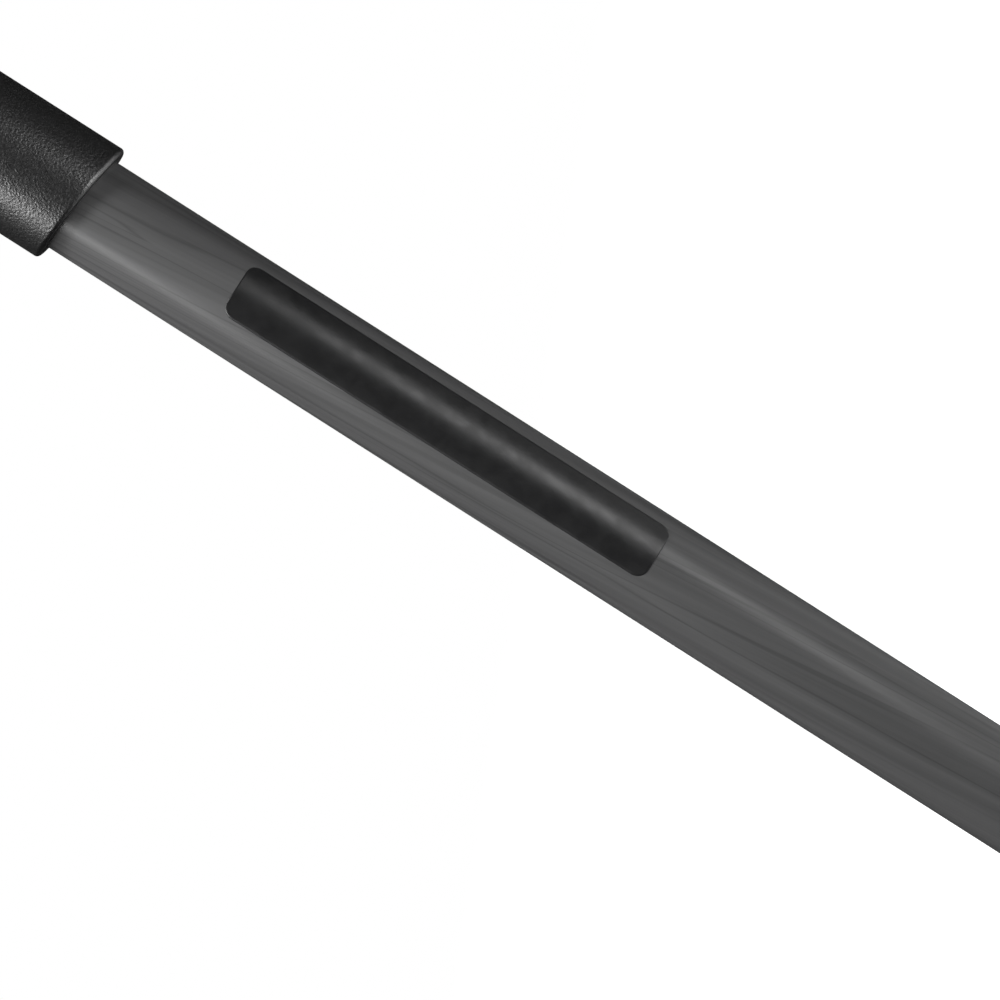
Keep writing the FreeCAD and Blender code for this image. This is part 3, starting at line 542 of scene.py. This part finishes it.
def leg_tube(i, leg):
    """A leg tube with its ferrule and collet at the foot end and its guide sleeve at the top."""
    place = leg_places[leg]
    low, high = own_box(TUBE_NODES[i] + leg, place)
    top, bottom = low[2], high[2]
    outer = TUBE_RADII[i]
    inner = outer - TUBE_WALL
    walls = [wall(outer, inner, top, bottom, 0.25 * MM)]
    if i < 3:
        lock_low, _ = own_box(LOCK_NODES[i] + leg, place)
        ferrule_top = lock_low[2] + LIP + FERRULE_GAP
        walls.append(wall(outer + FERRULE_WALL, outer, ferrule_top, bottom, 0.3 * MM))
        bore = TUBE_RADII[i + 1] + SLIDE_GAP
        walls.append(wall(inner, bore, bottom - COLLET_LENGTH, bottom, 0.2 * MM))
    if i > 0:
        guide = TUBE_RADII[i - 1] - TUBE_WALL - SLIDE_GAP
        walls.append(wall(guide, outer, top, top + GUIDE_LENGTH, 0.3 * MM))
    node = TUBE_NODES[i] + leg
    piece = turned_together(node + "_wall", walls, place, TUBE_SEGMENTS)
    finish_piece(piece, node, tube_grey if i == 0 else inner_tube_grey)


def column_wall():
    """The centre column: a round wall with a flat-bottomed groove along its +Y side.

    Where a point's angle from +Y is under that of the groove's half width, its radius is less by
    the groove's depth.
    """
    low, high = own_box("column_tube", centre_place)
    radius = high[0]
    half = math.asin(GROOVE_HALF / radius)
    middle = math.pi / 2
    nudges = (-GROOVE_SIDE, GROOVE_SIDE)
    sides = [middle + side * (half + nudge) for side in (-1, 1) for nudge in nudges]
    angle = np.sort(np.concatenate([np.linspace(0, 2 * math.pi, 120, endpoint=False), sides]))
    section = wall(radius, radius - COLUMN_WALL, low[2], high[2], COLUMN_EDGE)
    outer = section[:, 0] > radius - 0.4 * MM
    in_groove = np.abs(np.angle(np.exp(1j * (angle - middle)))) < half
    r = section[:, 0][:, None] - GROOVE_DEPTH * np.outer(outer, in_groove)
    z = section[:, 1][:, None] + np.zeros(len(angle))
    points = np.stack([r * np.cos(angle), r * np.sin(angle), z], 2).reshape(-1, 3)
    faces = grid_faces(len(section), len(angle), True, True)
    finish_piece(mesh_object("column_wall", points, faces, centre_place), "column_tube", tube_grey)


# Bare pad where the label is

LABEL_START = 102.7 * MM
LABEL_LENGTH = 103.0 * MM
LABEL_WIDTH = 13.4 * MM
LABEL_CORNER = 2.7 * MM
LABEL_THICKNESS = 0.15 * MM
LABEL_TURN = math.radians(16)


def label_pad(leg):
    """Rounded rectangle wrapped round the tube, narrower where its corners are.

    At a distance s from the nearer end its half width is the full one less the corner's missing
    part, corner - sqrt(corner^2 - (corner - s)^2). The edge rolls down to the tube over one
    thickness.
    """
    end = 1 - np.cos(np.linspace(0, math.pi / 2, 14))
    near = LABEL_CORNER * end
    straight = np.linspace(LABEL_CORNER, LABEL_LENGTH - LABEL_CORNER, 40)[1:-1]
    along = np.concatenate([near, straight, LABEL_LENGTH - near[::-1]])
    inset = np.minimum(along, LABEL_LENGTH - along)
    corner = np.maximum(LABEL_CORNER - inset, 0)
    half = LABEL_WIDTH / 2 - (LABEL_CORNER - np.sqrt(LABEL_CORNER**2 - corner**2))
    across = np.linspace(-1, 1, 41)
    from_side = (1 - np.abs(across)) * LABEL_WIDTH / 2
    rise = np.outer(*(np.sqrt(np.clip(edge / LABEL_THICKNESS, 0, 1)) for edge in (inset, from_side)))
    radius = TUBE_RADII[0]
    angle = -math.pi / 2 - LABEL_TURN + np.outer(half, across) / radius
    layers = []
    for height in (rise * LABEL_THICKNESS, np.full_like(rise, -LABEL_THICKNESS)):
        r = radius + height
        z = LABEL_START + along[:, None] + np.zeros_like(r)
        layers.append(np.stack([r * np.cos(angle), r * np.sin(angle), z], 2).reshape(-1, 3))
    rows, columns = angle.shape
    top = grid_faces(rows, columns, False, False)
    under = top[:, ::-1] + rows * columns
    ring = np.concatenate([np.arange(columns), np.arange(1, rows) * columns + columns - 1,
                           (rows - 1) * columns + np.arange(columns - 2, -1, -1),
                           np.arange(rows - 2, 0, -1) * columns])
    after = np.roll(ring, -1)
    rim = np.stack([ring, ring + rows * columns, after + rows * columns, after], 1)
    faces = np.concatenate([top, under, rim])
    piece = mesh_object("label_pad_" + leg, np.concatenate(layers), faces, leg_places[leg], 50)
    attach(paint(piece, label_black), "leg_upper_" + leg)


# Grips

RIB_CUTTER = 1.7 * MM
RIB_DEPTH = 0.6 * MM
RIB_POINTS = 14
COLLAR_CHAMFER = 1.2 * MM
COLLAR_END_BAND = 4.5 * MM
COLLAR_ROUND = 0.35 * MM
LOCK_CLEARANCE = 0.3 * MM
LOCK_THREAD_GAP = 0.05 * MM
COLUMN_LOCK_INSIDE = 15.05 * MM
COLUMN_LOCK_HOLE = 11.8 * MM
LOBE_CUTTER = 3.0 * MM
LOBE_DEPTH = 1.1 * MM
KNOB_NECK = 0.7
KNOB_FLOOR = 0.3 * MM
KNOB_RIM_START = 1.8 * MM
KNOB_CHAMFER = 1.2 * MM
KNOB_DISH = 0.5 * MM


def flutes(count, outer, cutter, depth, low, high):
    """Finger flutes round a grip, as a radius change.

    Across a flute at a distance d from its centre line the surface sinks by
    sqrt(cutter^2 - d^2) - (cutter - depth), and towards the flute's ends d grows by how far the
    point lies past them, so that the flute runs out round.
    """
    def change(angle, radius, height):
        period = 2 * math.pi / count
        across = outer * ((angle + period / 2) % period - period / 2)
        past = np.maximum(np.maximum(low - height, height - high), 0)
        reach = np.sqrt(np.maximum(cutter**2 - across**2 - past**2, 0))
        sink = np.maximum(reach - (cutter - depth), 0)
        return -sink * (radius > outer - depth)
    return change


def grip_ring(name, node, place, hole_low, hole_high, inside, count):
    """Twist collar: a hollow ring with lips at both ends and a band of ribs between two rims."""
    low, high = own_box(node, place)
    outer = high[0]
    z0, z1 = low[2], high[2]
    bevel = COLLAR_CHAMFER
    outline = rounded([
        (hole_low, z0), (outer - bevel, z0), (outer, z0 + bevel),
        (outer, z1 - bevel), (outer - bevel, z1), (hole_high, z1),
        (hole_high, z1 - LIP), (inside, z1 - LIP), (inside, z0 + LIP), (hole_low, z0 + LIP),
    ], COLLAR_ROUND, 3)
    ribs = flutes(count, outer, RIB_CUTTER, RIB_DEPTH, z0 + COLLAR_END_BAND, z1 - COLLAR_END_BAND)
    piece = turned(name, dense(outline, 0.5 * MM), place, count * RIB_POINTS, waves=ribs)
    finish_piece(piece, node, grip_rubber)


def twist_collars(leg):
    """The three locks of a leg, each over the ferrule of its tube."""
    for i, lock in enumerate(LOCK_NODES):
        upper, lower = TUBE_RADII[i], TUBE_RADII[i + 1]
        grip_ring(f"twist_grip_{i + 1}{leg}", lock + leg, leg_places[leg], upper + LOCK_CLEARANCE,
                  lower + LOCK_CLEARANCE, upper + FERRULE_WALL + LOCK_THREAD_GAP, 16)


FOOT_NECK = 8.6 * MM
FOOT_GROOVE = 0.9 * MM
FOOT_SOCKET = 10 * MM
TREAD_DEPTH = 0.35 * MM
TREAD_RINGS = 22


def rubber_foot(leg):
    """Ball-ended foot: a neck with one groove, then a ball with shallow rings of tread.

    The ball's radius sinks by the tread's depth times the sixth power of a cosine of the angle
    from its tip, in the rings between 0.35 and 1.9 radians.
    """
    node = "foot_" + leg
    low, high = own_box(node, leg_places[leg])
    top, tip, ball = low[2], high[2], high[0]
    arc = np.linspace(math.pi - math.asin(FOOT_NECK / ball), 0, 60)
    waves = np.maximum(0, np.cos((arc - 0.2) * TREAD_RINGS)) ** 6
    radius = ball - TREAD_DEPTH * waves * (arc > 0.35) * (arc < 1.9)
    ball_line = np.stack([radius * np.sin(arc), tip - ball + radius * np.cos(arc)], 1)
    joint = ball_line[0][1]
    waist = (top + joint) / 2
    groove = FOOT_NECK - FOOT_GROOVE
    floor = top + FOOT_SOCKET
    neck_line = rounded([
        (TUBE_RADII[3], floor), (TUBE_RADII[3], top), (FOOT_NECK, top),
        (FOOT_NECK, waist - 1.2 * MM), (groove, waist - 0.6 * MM),
        (groove, waist + 0.6 * MM), (FOOT_NECK, waist + 1.2 * MM), (FOOT_NECK, joint)],
        0.4 * MM, 4, False)
    outline = np.concatenate([[(0, floor)], neck_line[:-1], ball_line])
    finish_piece(turned("rubber_foot_" + leg, outline, leg_places[leg], closed=False), node, foot_rubber)


def lobed_knob(node, shaft, lobes, material):
    """Knob with finger lobes: shaft, thin neck, fluted rim and a dished end face."""
    point, axis = joint_place(node)
    place = Place(point, UP, axis)
    low, high = own_box(node, place)
    outer, end = high[0], high[2]
    neck = outer * KNOB_NECK
    outline = rounded([
        (0, low[2]), (shaft, low[2]), (shaft, KNOB_FLOOR), (neck, KNOB_FLOOR), (neck, KNOB_RIM_START),
        (outer - KNOB_CHAMFER, KNOB_RIM_START), (outer, KNOB_RIM_START + KNOB_CHAMFER),
        (outer, end - KNOB_CHAMFER), (outer - KNOB_CHAMFER, end),
        (outer * 0.62, end), (outer * 0.58, end - KNOB_DISH), (0, end - KNOB_DISH)],
        0.4 * MM, 4, False)
    points = dense(outline, 0.6 * MM)
    to_axis = int(np.argmax(np.all(np.isclose(points, outline[-1]), axis=1)))
    lobe_waves = flutes(lobes, outer, LOBE_CUTTER, LOBE_DEPTH, KNOB_RIM_START, end)
    piece = turned(node + "_grip", points[:to_axis + 1], place, 168, closed=False, waves=lobe_waves)
    finish_piece(piece, node, material)


# Head

def head_ball():
    """The ball: a sphere on a fine grid of rings."""
    low, high = own_box("ball", centre_place)
    radius, middle = high[0], (low[2] + high[2]) / 2
    arc = np.linspace(math.pi, 0, 72)
    outline = np.stack([radius * np.sin(arc), middle + radius * np.cos(arc)], 1)
    outline[0, 0] = outline[-1, 0] = 0
    finish_piece(turned("head_ball", outline, centre_place, 128, closed=False), "ball", ball_black)


PAD_TOP = own_box("plate_pad", centre_place)[1][2]
PAD_PITCH = 1.7 * MM
PAD_POINTS = 12
PAD_EDGE = 0.25 * MM
PAD_GROOVE = 0.45 * MM
PAD_CORNER = 3.25 * MM
PAD_HOLE = 3.475 * MM


def ribbed_pad():
    """Rubber pad in two halves: ribs run across it, and its top sinks by a sine power between them.

    At a place y along the pad its half width is the full one less the corner's missing part, and
    its inner edge is the hole's half chord, sqrt(r^2 - y^2), or the middle line past the hole.
    """
    low, high = own_box("plate_pad", centre_place)
    length, width = high[1], high[0]
    y = np.linspace(-length, length, 2 * int(length / PAD_PITCH * PAD_POINTS) + 1)
    past = np.maximum(np.abs(y) - (length - PAD_CORNER), 0)
    outer = width - PAD_CORNER + np.sqrt(np.maximum(PAD_CORNER**2 - past**2, 0))
    inner = np.sqrt(np.maximum(PAD_HOLE**2 - y**2, 0))
    groove = PAD_GROOVE * np.abs(np.sin(math.pi * y / PAD_PITCH)) ** 6
    groove = groove * (np.abs(y) < length - PAD_PITCH)
    top = high[2] - groove
    under = np.full_like(y, low[2])
    ease = 0.3 * PAD_EDGE
    across = [
        (inner, under), (outer, under), (outer, top - PAD_EDGE), (outer - ease, top - ease),
        (outer - PAD_EDGE, top), (inner + PAD_EDGE, top), (inner, top - PAD_EDGE)]
    for side, half in ((-1, "left"), (1, "right")):
        points = np.stack([np.stack([side * x, y, z], 1) for x, z in across], 1)
        rows, columns = points.shape[:2]
        faces = grid_faces(rows, columns, False, True).tolist()
        faces += [list(range(columns)), list(range(rows * columns - 1, (rows - 1) * columns - 1, -1))]
        piece = mesh_object("pad_half_" + half, points.reshape(-1, 3), faces, centre_place, 35)
        finish_piece(piece, "plate_pad", pad_rubber)


SCREW_CREST = 3.175 * MM
SCREW_PITCH = 1.27 * MM
SCREW_GROOVE = 0.66 * MM
SCREW_TIP_CHAMFER = 0.8 * MM
SCREW_CUT_BELOW = 0.05 * MM


def camera_screw_thread():
    """Thread of the camera screw: one ridge that climbs one pitch a turn.

    The radius is the crest less the groove's depth times a triangle wave of height / pitch less
    angle / one turn, and no more than a cone at the tip and another at the foot.
    """
    _, high = own_box("camera_screw", centre_place)
    base, tip = PAD_TOP, high[2]
    height = np.linspace(base, tip, 68)

    def thread(angle, radius, z):
        ridge = np.abs(2 * ((z / SCREW_PITCH - angle / (2 * math.pi)) % 1.0) - 1)
        cut = SCREW_CREST - SCREW_GROOVE * np.clip(1.25 * ridge - 0.12, 0, 1)
        tip_cone = SCREW_CREST - SCREW_TIP_CHAMFER + (tip - z)
        foot_cone = SCREW_CREST - SCREW_GROOVE + (z - base)
        return np.minimum(cut, np.minimum(tip_cone, foot_cone)) - radius

    outline = np.stack([np.full_like(height, SCREW_CREST), height], 1)
    outline = np.concatenate([[(0, base)], outline, [(0, tip)]])
    piece = turned("camera_screw_thread", outline, centre_place, 72, closed=False, waves=thread)
    finish_piece(piece, "camera_screw", machined_steel)


def camera_screw_head():
    """Slotted head and neck of the camera screw, cut off where the thread starts."""
    piece = smooth_copy("camera_screw", centre_place)
    bm = bmesh.new()
    bm.from_mesh(piece.data)
    parts = list(bm.verts) + list(bm.edges) + list(bm.faces)
    cut = (0, 0, PAD_TOP - SCREW_CUT_BELOW)
    bmesh.ops.bisect_plane(bm, geom=parts, plane_co=cut, plane_no=(0, 0, 1), clear_outer=True)
    bmesh.ops.holes_fill(bm, edges=[edge for edge in bm.edges if edge.is_boundary])
    bmesh.ops.recalc_face_normals(bm, faces=bm.faces)
    bm.to_mesh(piece.data)
    bm.free()
    paint(piece, machined_steel)


def step_between(tree, value, low, high, soft):
    """1 where a value lies between two limits, with soft ends."""
    rise = range_node(tree, value, low - soft, low + soft, 0, 1)
    fall = range_node(tree, value, high - soft, high + soft, 1, 0)
    return math_node(tree, "MULTIPLY", rise, fall)


LEVEL_RADIUS = 4.4 * MM
BUBBLE_RADIUS = 1.6 * MM
BUBBLE_PLACE = (0.35 * MM, -0.25 * MM)
LEVEL_RING = (2.15 * MM, 2.4 * MM)


def level_material():
    """Bubble level: pale green fluid with a thin ring and an off-centre bubble, under a gloss; the fluid
    is painted darker towards the rim as painted shade.
    """
    material, tree, shader = new_material(
        "level_window", 0.0, 0.12, (0.5, 0.62, 0.12), Coat_Weight=1.0, Coat_Roughness=0.05)
    split = tree.nodes.new("ShaderNodeSeparateXYZ")
    tree.links.new(own_vector(tree), split.inputs[0])

    def distance(x, y):
        dx = math_node(tree, "SUBTRACT", split.outputs["X"], x)
        dy = math_node(tree, "SUBTRACT", split.outputs["Y"], y)
        squares = math_node(tree, "MULTIPLY", dx, dx), math_node(tree, "MULTIPLY", dy, dy)
        return math_node(tree, "SQRT", math_node(tree, "ADD", *squares))

    def ring(colour, way, low, high, soft, ring_colour):
        return mixed(tree, step_between(tree, way, low, high, soft), colour, ring_colour)

    middle, bubble = distance(0, 0), distance(*BUBBLE_PLACE)
    # painted shade: the fluid goes from full colour in the middle to 0.55 at the rim, darker where the
    # rim would shade it
    shade = range_node(tree, middle, 0, LEVEL_RADIUS, 1.0, 0.55)
    cloud = range_node(tree, noise_node(tree, own_vector(tree), 400.0, 2.0), 0.3, 0.7, 0.94, 1.0)
    shade = math_node(tree, "MULTIPLY", shade, cloud)
    fluid = mixed(tree, shade, (0.12, 0.17, 0.02), (0.50, 0.64, 0.12))
    edge, soft = 0.05 * MM, 0.03 * MM
    inner, outer = BUBBLE_RADIUS - 2 * edge, BUBBLE_RADIUS + 2 * edge
    fluid = ring(fluid, bubble, -BUBBLE_RADIUS, BUBBLE_RADIUS - edge, soft, (0.74, 0.82, 0.42))
    fluid = ring(fluid, bubble, inner, outer, edge, (0.12, 0.17, 0.03))
    fluid = ring(fluid, middle, *LEVEL_RING, soft, (0.01, 0.01, 0.01))
    rim = range_node(tree, middle, LEVEL_RADIUS - 2 * edge, LEVEL_RADIUS, 0, 1)
    colour = mixed(tree, rim, fluid, (0.015, 0.015, 0.015))
    tree.links.new(colour, shader.inputs["Base Color"])
    return material


TICKS = 72
TICK_WIDTH = 0.075
TICK_LONG = 3.0 * MM
TICK_BELOW_RIM = 0.6 * MM
SCALE_RIM = 7 * MM
TICK_WHITE = (0.62, 0.62, 0.60)


def tick_material(low, high):
    """Black anodised finish with thin pale ticks round the piece, between two heights.

    The tick mask is 1 where the angle about z, counted in ticks, lies near a whole number. Every
    third tick reaches the full height, and the others half of it.
    """
    material = anodised_black.copy()
    material.name = "scale_black"
    tree = material.node_tree
    shader = tree.nodes["Principled BSDF"]
    split = tree.nodes.new("ShaderNodeSeparateXYZ")
    tree.links.new(own_vector(tree), split.inputs[0])
    angle = math_node(tree, "ARCTAN2", split.outputs["Y"], split.outputs["X"])

    def from_whole(value):
        rest = math_node(tree, "SUBTRACT", value, math_node(tree, "ROUND", value))
        return math_node(tree, "ABSOLUTE", rest)

    turns = math_node(tree, "MULTIPLY", angle, TICKS / (2 * math.pi))
    line = range_node(tree, from_whole(turns), TICK_WIDTH * 0.8, TICK_WIDTH * 1.2, 1, 0)
    third = math_node(tree, "MULTIPLY", math_node(tree, "ROUND", turns), 1 / 3)
    top = range_node(tree, from_whole(third), 0.1, 0.2, high, (low + high) / 2)
    below = math_node(tree, "LESS_THAN", split.outputs["Z"], top)
    above = math_node(tree, "GREATER_THAN", split.outputs["Z"], low)
    mask = math_node(tree, "MULTIPLY", line, math_node(tree, "MULTIPLY", below, above))
    black = shader.inputs["Base Color"].links[0].from_socket
    tree.links.new(mixed(tree, mask, black, TICK_WHITE), shader.inputs["Base Color"])
    tree.links.new(range_node(tree, mask, 0, 1, 0.6, 0.0), shader.inputs["Metallic"])
    return material


def bubble_level():
    """The round level in the centre casting, with its own axes at its middle."""
    low, high = own_box("level_vial", centre_place)
    middle = ((low + high) / 2) * (1, 1, 0)
    paint(smooth_copy("level_vial", Place(middle, middle, UP)), level_material())


def pan_scale():
    """The head's foot with its plain pan ticks."""
    low, _ = own_box("head_base", centre_place)
    high = low[2] + SCALE_RIM - TICK_BELOW_RIM
    paint(smooth_copy("head_base", centre_place, METAL_EASE), tick_material(high - TICK_LONG, high))


# Dressing

CAST_EASE = 0.3 * MM
METAL_EASE = 0.2 * MM

for leg in LEGS:
    for node, material in (("leg_casting_", cast_black), ("angle_tab_", moulded_black)):
        paint(smooth_copy(node + leg, leg_places[leg], CAST_EASE), material)
    for i in range(len(TUBE_NODES)):
        leg_tube(i, leg)
    twist_collars(leg)
    rubber_foot(leg)
    paint(smooth_copy("foot_stud_" + leg, leg_places[leg]), machined_steel)
label_pad("a")
column_wall()
grip_ring("column_grip", "column_lock", centre_place, COLUMN_LOCK_INSIDE, COLUMN_LOCK_HOLE,
          COLUMN_LOCK_INSIDE, 18)
head_ball()
lobed_knob("ball_knob", 3.4 * MM, 8, grip_rubber)
lobed_knob("pan_knob", 2.5 * MM, 10, anodised_black)
lobed_knob("clamp_knob", 2.5 * MM, 7, grip_rubber)
ribbed_pad()
camera_screw_thread()
camera_screw_head()
bubble_level()
pan_scale()

PLAIN_FINISHES = {
    "column_bush": moulded_black, "column_cap": moulded_black, "pressure_cup": moulded_black,
    "pivot_bolts": blackened_steel, "head_set_screws": blackened_steel, "clamp_screw": blackened_steel,
    "head_stud": machined_steel, "bag_hook": machined_steel,
}
EASED_FINISHES = {
    "spider": cast_black, "column_plate": anodised_black, "head_housing": anodised_black,
    "retaining_ring": anodised_black, "stem": anodised_black, "clamp_body": anodised_black,
    "clamp_jaw": anodised_black, "quick_plate": anodised_black,
}
for ease, finishes in ((0.0, PLAIN_FINISHES), (METAL_EASE, EASED_FINISHES)):
    for node, material in finishes.items():
        paint(smooth_copy(node, centre_place, ease), material)


# Floor, light and camera

FLOOR_RADIUS = 60
FLOOR_SIDES = 96
FLOOR_SHADE = 0.85
FLOOR_BOUNCE = 0.2
LIFT_NEAR, LIFT_FAR = 0.06, 0.62
LIFT_START, LIFT_END = 0.4, 1.6
FLOOR_NEAR = 0.08
FLOOR_FAR = 0.42
ROOM_LEVEL = 0.16
WALL_LEVEL = 0.02
CEILING_START, CEILING_END = 0.5, 0.95


def floor_material():
    """Pale floor: seen directly it is lifted, to white far off and less near the object's shadow.

    A reflection sees the same floor near the object, and past FLOOR_NEAR it fades into the dim room.
    """
    material = bpy.data.materials.new("pale_floor")
    material.use_nodes = True
    tree = material.node_tree
    tree.nodes.clear()
    out = tree.nodes.new("ShaderNodeOutputMaterial")
    diffuse = tree.nodes.new("ShaderNodeBsdfDiffuse")
    diffuse.inputs["Color"].default_value = (FLOOR_SHADE,) * 3 + (1,)
    glow = tree.nodes.new("ShaderNodeEmission")
    added = tree.nodes.new("ShaderNodeAddShader")
    tree.links.new(diffuse.outputs[0], added.inputs[0])
    tree.links.new(glow.outputs[0], added.inputs[1])
    rays = tree.nodes.new("ShaderNodeLightPath")
    mix = tree.nodes.new("ShaderNodeMixShader")
    seen = math_node(tree, "MAXIMUM", rays.outputs["Is Camera Ray"], rays.outputs["Is Glossy Ray"])
    seen = math_node(tree, "MAXIMUM", seen, rays.outputs["Is Transmission Ray"])
    bounce = tree.nodes.new("ShaderNodeBsdfDiffuse")
    bounce.inputs["Color"].default_value = (FLOOR_BOUNCE,) * 3 + (1,)
    tree.links.new(seen, mix.inputs[0])
    tree.links.new(bounce.outputs[0], mix.inputs[1])
    tree.links.new(added.outputs[0], mix.inputs[2])
    length = tree.nodes.new("ShaderNodeVectorMath")
    length.operation = "LENGTH"
    tree.links.new(tree.nodes.new("ShaderNodeTexCoord").outputs["Object"], length.inputs[0])
    lift = range_node(tree, length.outputs["Value"], LIFT_START, LIFT_END, LIFT_NEAR, LIFT_FAR)
    tree.links.new(lift, glow.inputs["Strength"])
    far = range_node(tree, length.outputs["Value"], FLOOR_NEAR, FLOOR_FAR, 0, 1)
    dim = tree.nodes.new("ShaderNodeMixShader")
    room = tree.nodes.new("ShaderNodeEmission")
    room.inputs["Strength"].default_value = WALL_LEVEL
    tree.links.new(math_node(tree, "MULTIPLY", far, rays.outputs["Is Glossy Ray"]), dim.inputs[0])
    tree.links.new(mix.outputs[0], dim.inputs[1])
    tree.links.new(room.outputs[0], dim.inputs[2])
    tree.links.new(dim.outputs[0], out.inputs["Surface"])
    return material


def build_floor():
    """Large round floor under the feet."""
    points = round_points([(FLOOR_RADIUS, 0)], FLOOR_SIDES)
    mesh = bpy.data.meshes.new("floor")
    mesh.from_pydata(points.tolist(), [], [list(range(len(points)))])
    floor = bpy.data.objects.new("floor", mesh)
    bpy.context.scene.collection.objects.link(floor)
    mesh.materials.append(floor_material())


def build_world():
    """White room behind the object; reflections see its white ceiling over dimmer walls."""
    world = bpy.data.worlds.new("studio")
    bpy.context.scene.world = world
    world.use_nodes = True
    tree = world.node_tree
    background = tree.nodes["Background"]
    background.inputs["Color"].default_value = (1, 1, 1, 1)
    rays = tree.nodes.new("ShaderNodeLightPath")
    direction = tree.nodes.new("ShaderNodeSeparateXYZ")
    tree.links.new(tree.nodes.new("ShaderNodeTexCoord").outputs["Generated"], direction.inputs[0])
    ceiling = range_node(tree, direction.outputs["Z"], CEILING_START, CEILING_END, WALL_LEVEL, 1.0)
    reflected = mixed(tree, rays.outputs["Is Glossy Ray"], ROOM_LEVEL, ceiling, "FLOAT")
    seen = rays.outputs["Is Camera Ray"]
    seen = math_node(tree, "MAXIMUM", seen, rays.outputs["Is Transmission Ray"])
    tree.links.new(mixed(tree, seen, reflected, 1.0, "FLOAT"), background.inputs["Strength"])


def turned_to(back, along):
    """Rotation whose z points back from the subject and whose y lies nearest to a direction."""
    back = Vector(back).normalized()
    side = Vector(along).cross(back).normalized()
    rows = Matrix((side, back.cross(side), back))
    return rows.transposed().to_4x4()


def area_light(name, target, direction, distance, size, level, along=UP, shift=0.0):
    """Rectangular lamp that gives its target a plain level (1 shows a colour as it is written).

    The power is level times pi squared times the distance squared: a small flat lamp of power P
    gives P / (pi d^2) of light straight ahead, and a white surface then sends back 1 / pi of it.
    The lamp faces its target, and itself can't be seen by the camera.
    """
    direction = np.array(direction, float) / np.linalg.norm(direction)
    place = np.array(target, float) + direction * distance + np.array(along, float) * shift
    back = place - np.array(target, float)
    data = bpy.data.lights.new(name, "AREA")
    data.shape = "RECTANGLE"
    data.size, data.size_y = size
    data.energy = level * math.pi**2 * float(back @ back)
    lamp = bpy.data.objects.new(name, data)
    bpy.context.scene.collection.objects.link(lamp)
    lamp.matrix_world = Matrix.Translation(place) @ turned_to(back, along)
    lamp.visible_camera = False


def ceiling_light(level, soft_angle):
    """Even light from above, the same all over the floor."""
    data = bpy.data.lights.new("ceiling", "SUN")
    data.energy = level * math.pi
    data.angle = math.radians(soft_angle)
    lamp = bpy.data.objects.new("ceiling", data)
    bpy.context.scene.collection.objects.link(lamp)


KEY_TURN = math.radians(61)
STRIP_TURN = math.radians(42)


def build_lamps():
    """Soft boxes: the key beside and above leg A's sleeve, a strip along its tube's inner side.

    The crown makes the shadow under the sleeve's rim, and the last box lights what faces away.
    """
    leg = leg_places["a"]
    side = np.cross(leg.z, -leg.x)
    key = math.cos(KEY_TURN) * side + math.sin(KEY_TURN) * leg.x
    strip = math.cos(STRIP_TURN) * side - math.sin(STRIP_TURN) * leg.x
    crown = -1.5 * leg.z + side + 0.45 * leg.x
    area_light("key", leg.to_world([0, 0, 0.06]), key, distance=0.9, size=(0.24, 0.9), level=0.75,
               along=-leg.z, shift=0.53)
    area_light("crown", leg.to_world([0, 0, 0.12]), crown, distance=1.2, size=(0.3, 0.3), level=0.55,
               along=leg.x)
    area_light("strip", leg.to_world([0, 0, 0.2]), strip, distance=0.3, size=(0.11, 0.24), level=0.45,
               along=-leg.z, shift=-0.03)
    area_light("back", (0, 0, 0.35), (-0.8, 0.3, 0.6), distance=1.8, size=(1.2, 1.2), level=0.45)
    ceiling_light(level=0.4, soft_angle=25)


PHOTO_SLOPE = 32.5
PHOTO_SCALE = 4.82
RIM_PIXEL = (82.0, 204.5)
SLEEVE_RIM = 0.066
PHOTO_MIDDLE = 500
CAMERA_DISTANCE = 1.66
SENSOR_WIDTH = 36


def build_camera():
    """Long lens square to the plane of leg A, turned so that the leg runs down to the right."""
    leg = leg_places["a"]
    back = np.cross(leg.z, -leg.x)
    slope = math.radians(PHOTO_SLOPE)
    right = math.cos(slope) * leg.z - math.sin(slope) * leg.x
    up = -math.sin(slope) * leg.z - math.cos(slope) * leg.x
    rim = leg.origin + leg.z * SLEEVE_RIM
    pixel = MM / PHOTO_SCALE
    target = rim + pixel * ((PHOTO_MIDDLE - RIM_PIXEL[0]) * right - (PHOTO_MIDDLE - RIM_PIXEL[1]) * up)
    data = bpy.data.cameras.new("camera")
    data.sensor_width = SENSOR_WIDTH
    data.lens = SENSOR_WIDTH / 2 * CAMERA_DISTANCE / (PHOTO_MIDDLE * pixel)
    camera = bpy.data.objects.new("camera", data)
    bpy.context.scene.collection.objects.link(camera)
    where = target + back * CAMERA_DISTANCE
    camera.matrix_world = Matrix.Translation(where) @ Matrix((right, up, back)).transposed().to_4x4()
    data.clip_start, data.clip_end = 0.05, 200
    bpy.context.scene.camera = camera


build_floor()
build_world()
build_lamps()
build_camera()

bpy.context.scene.view_settings.view_transform = "Standard"
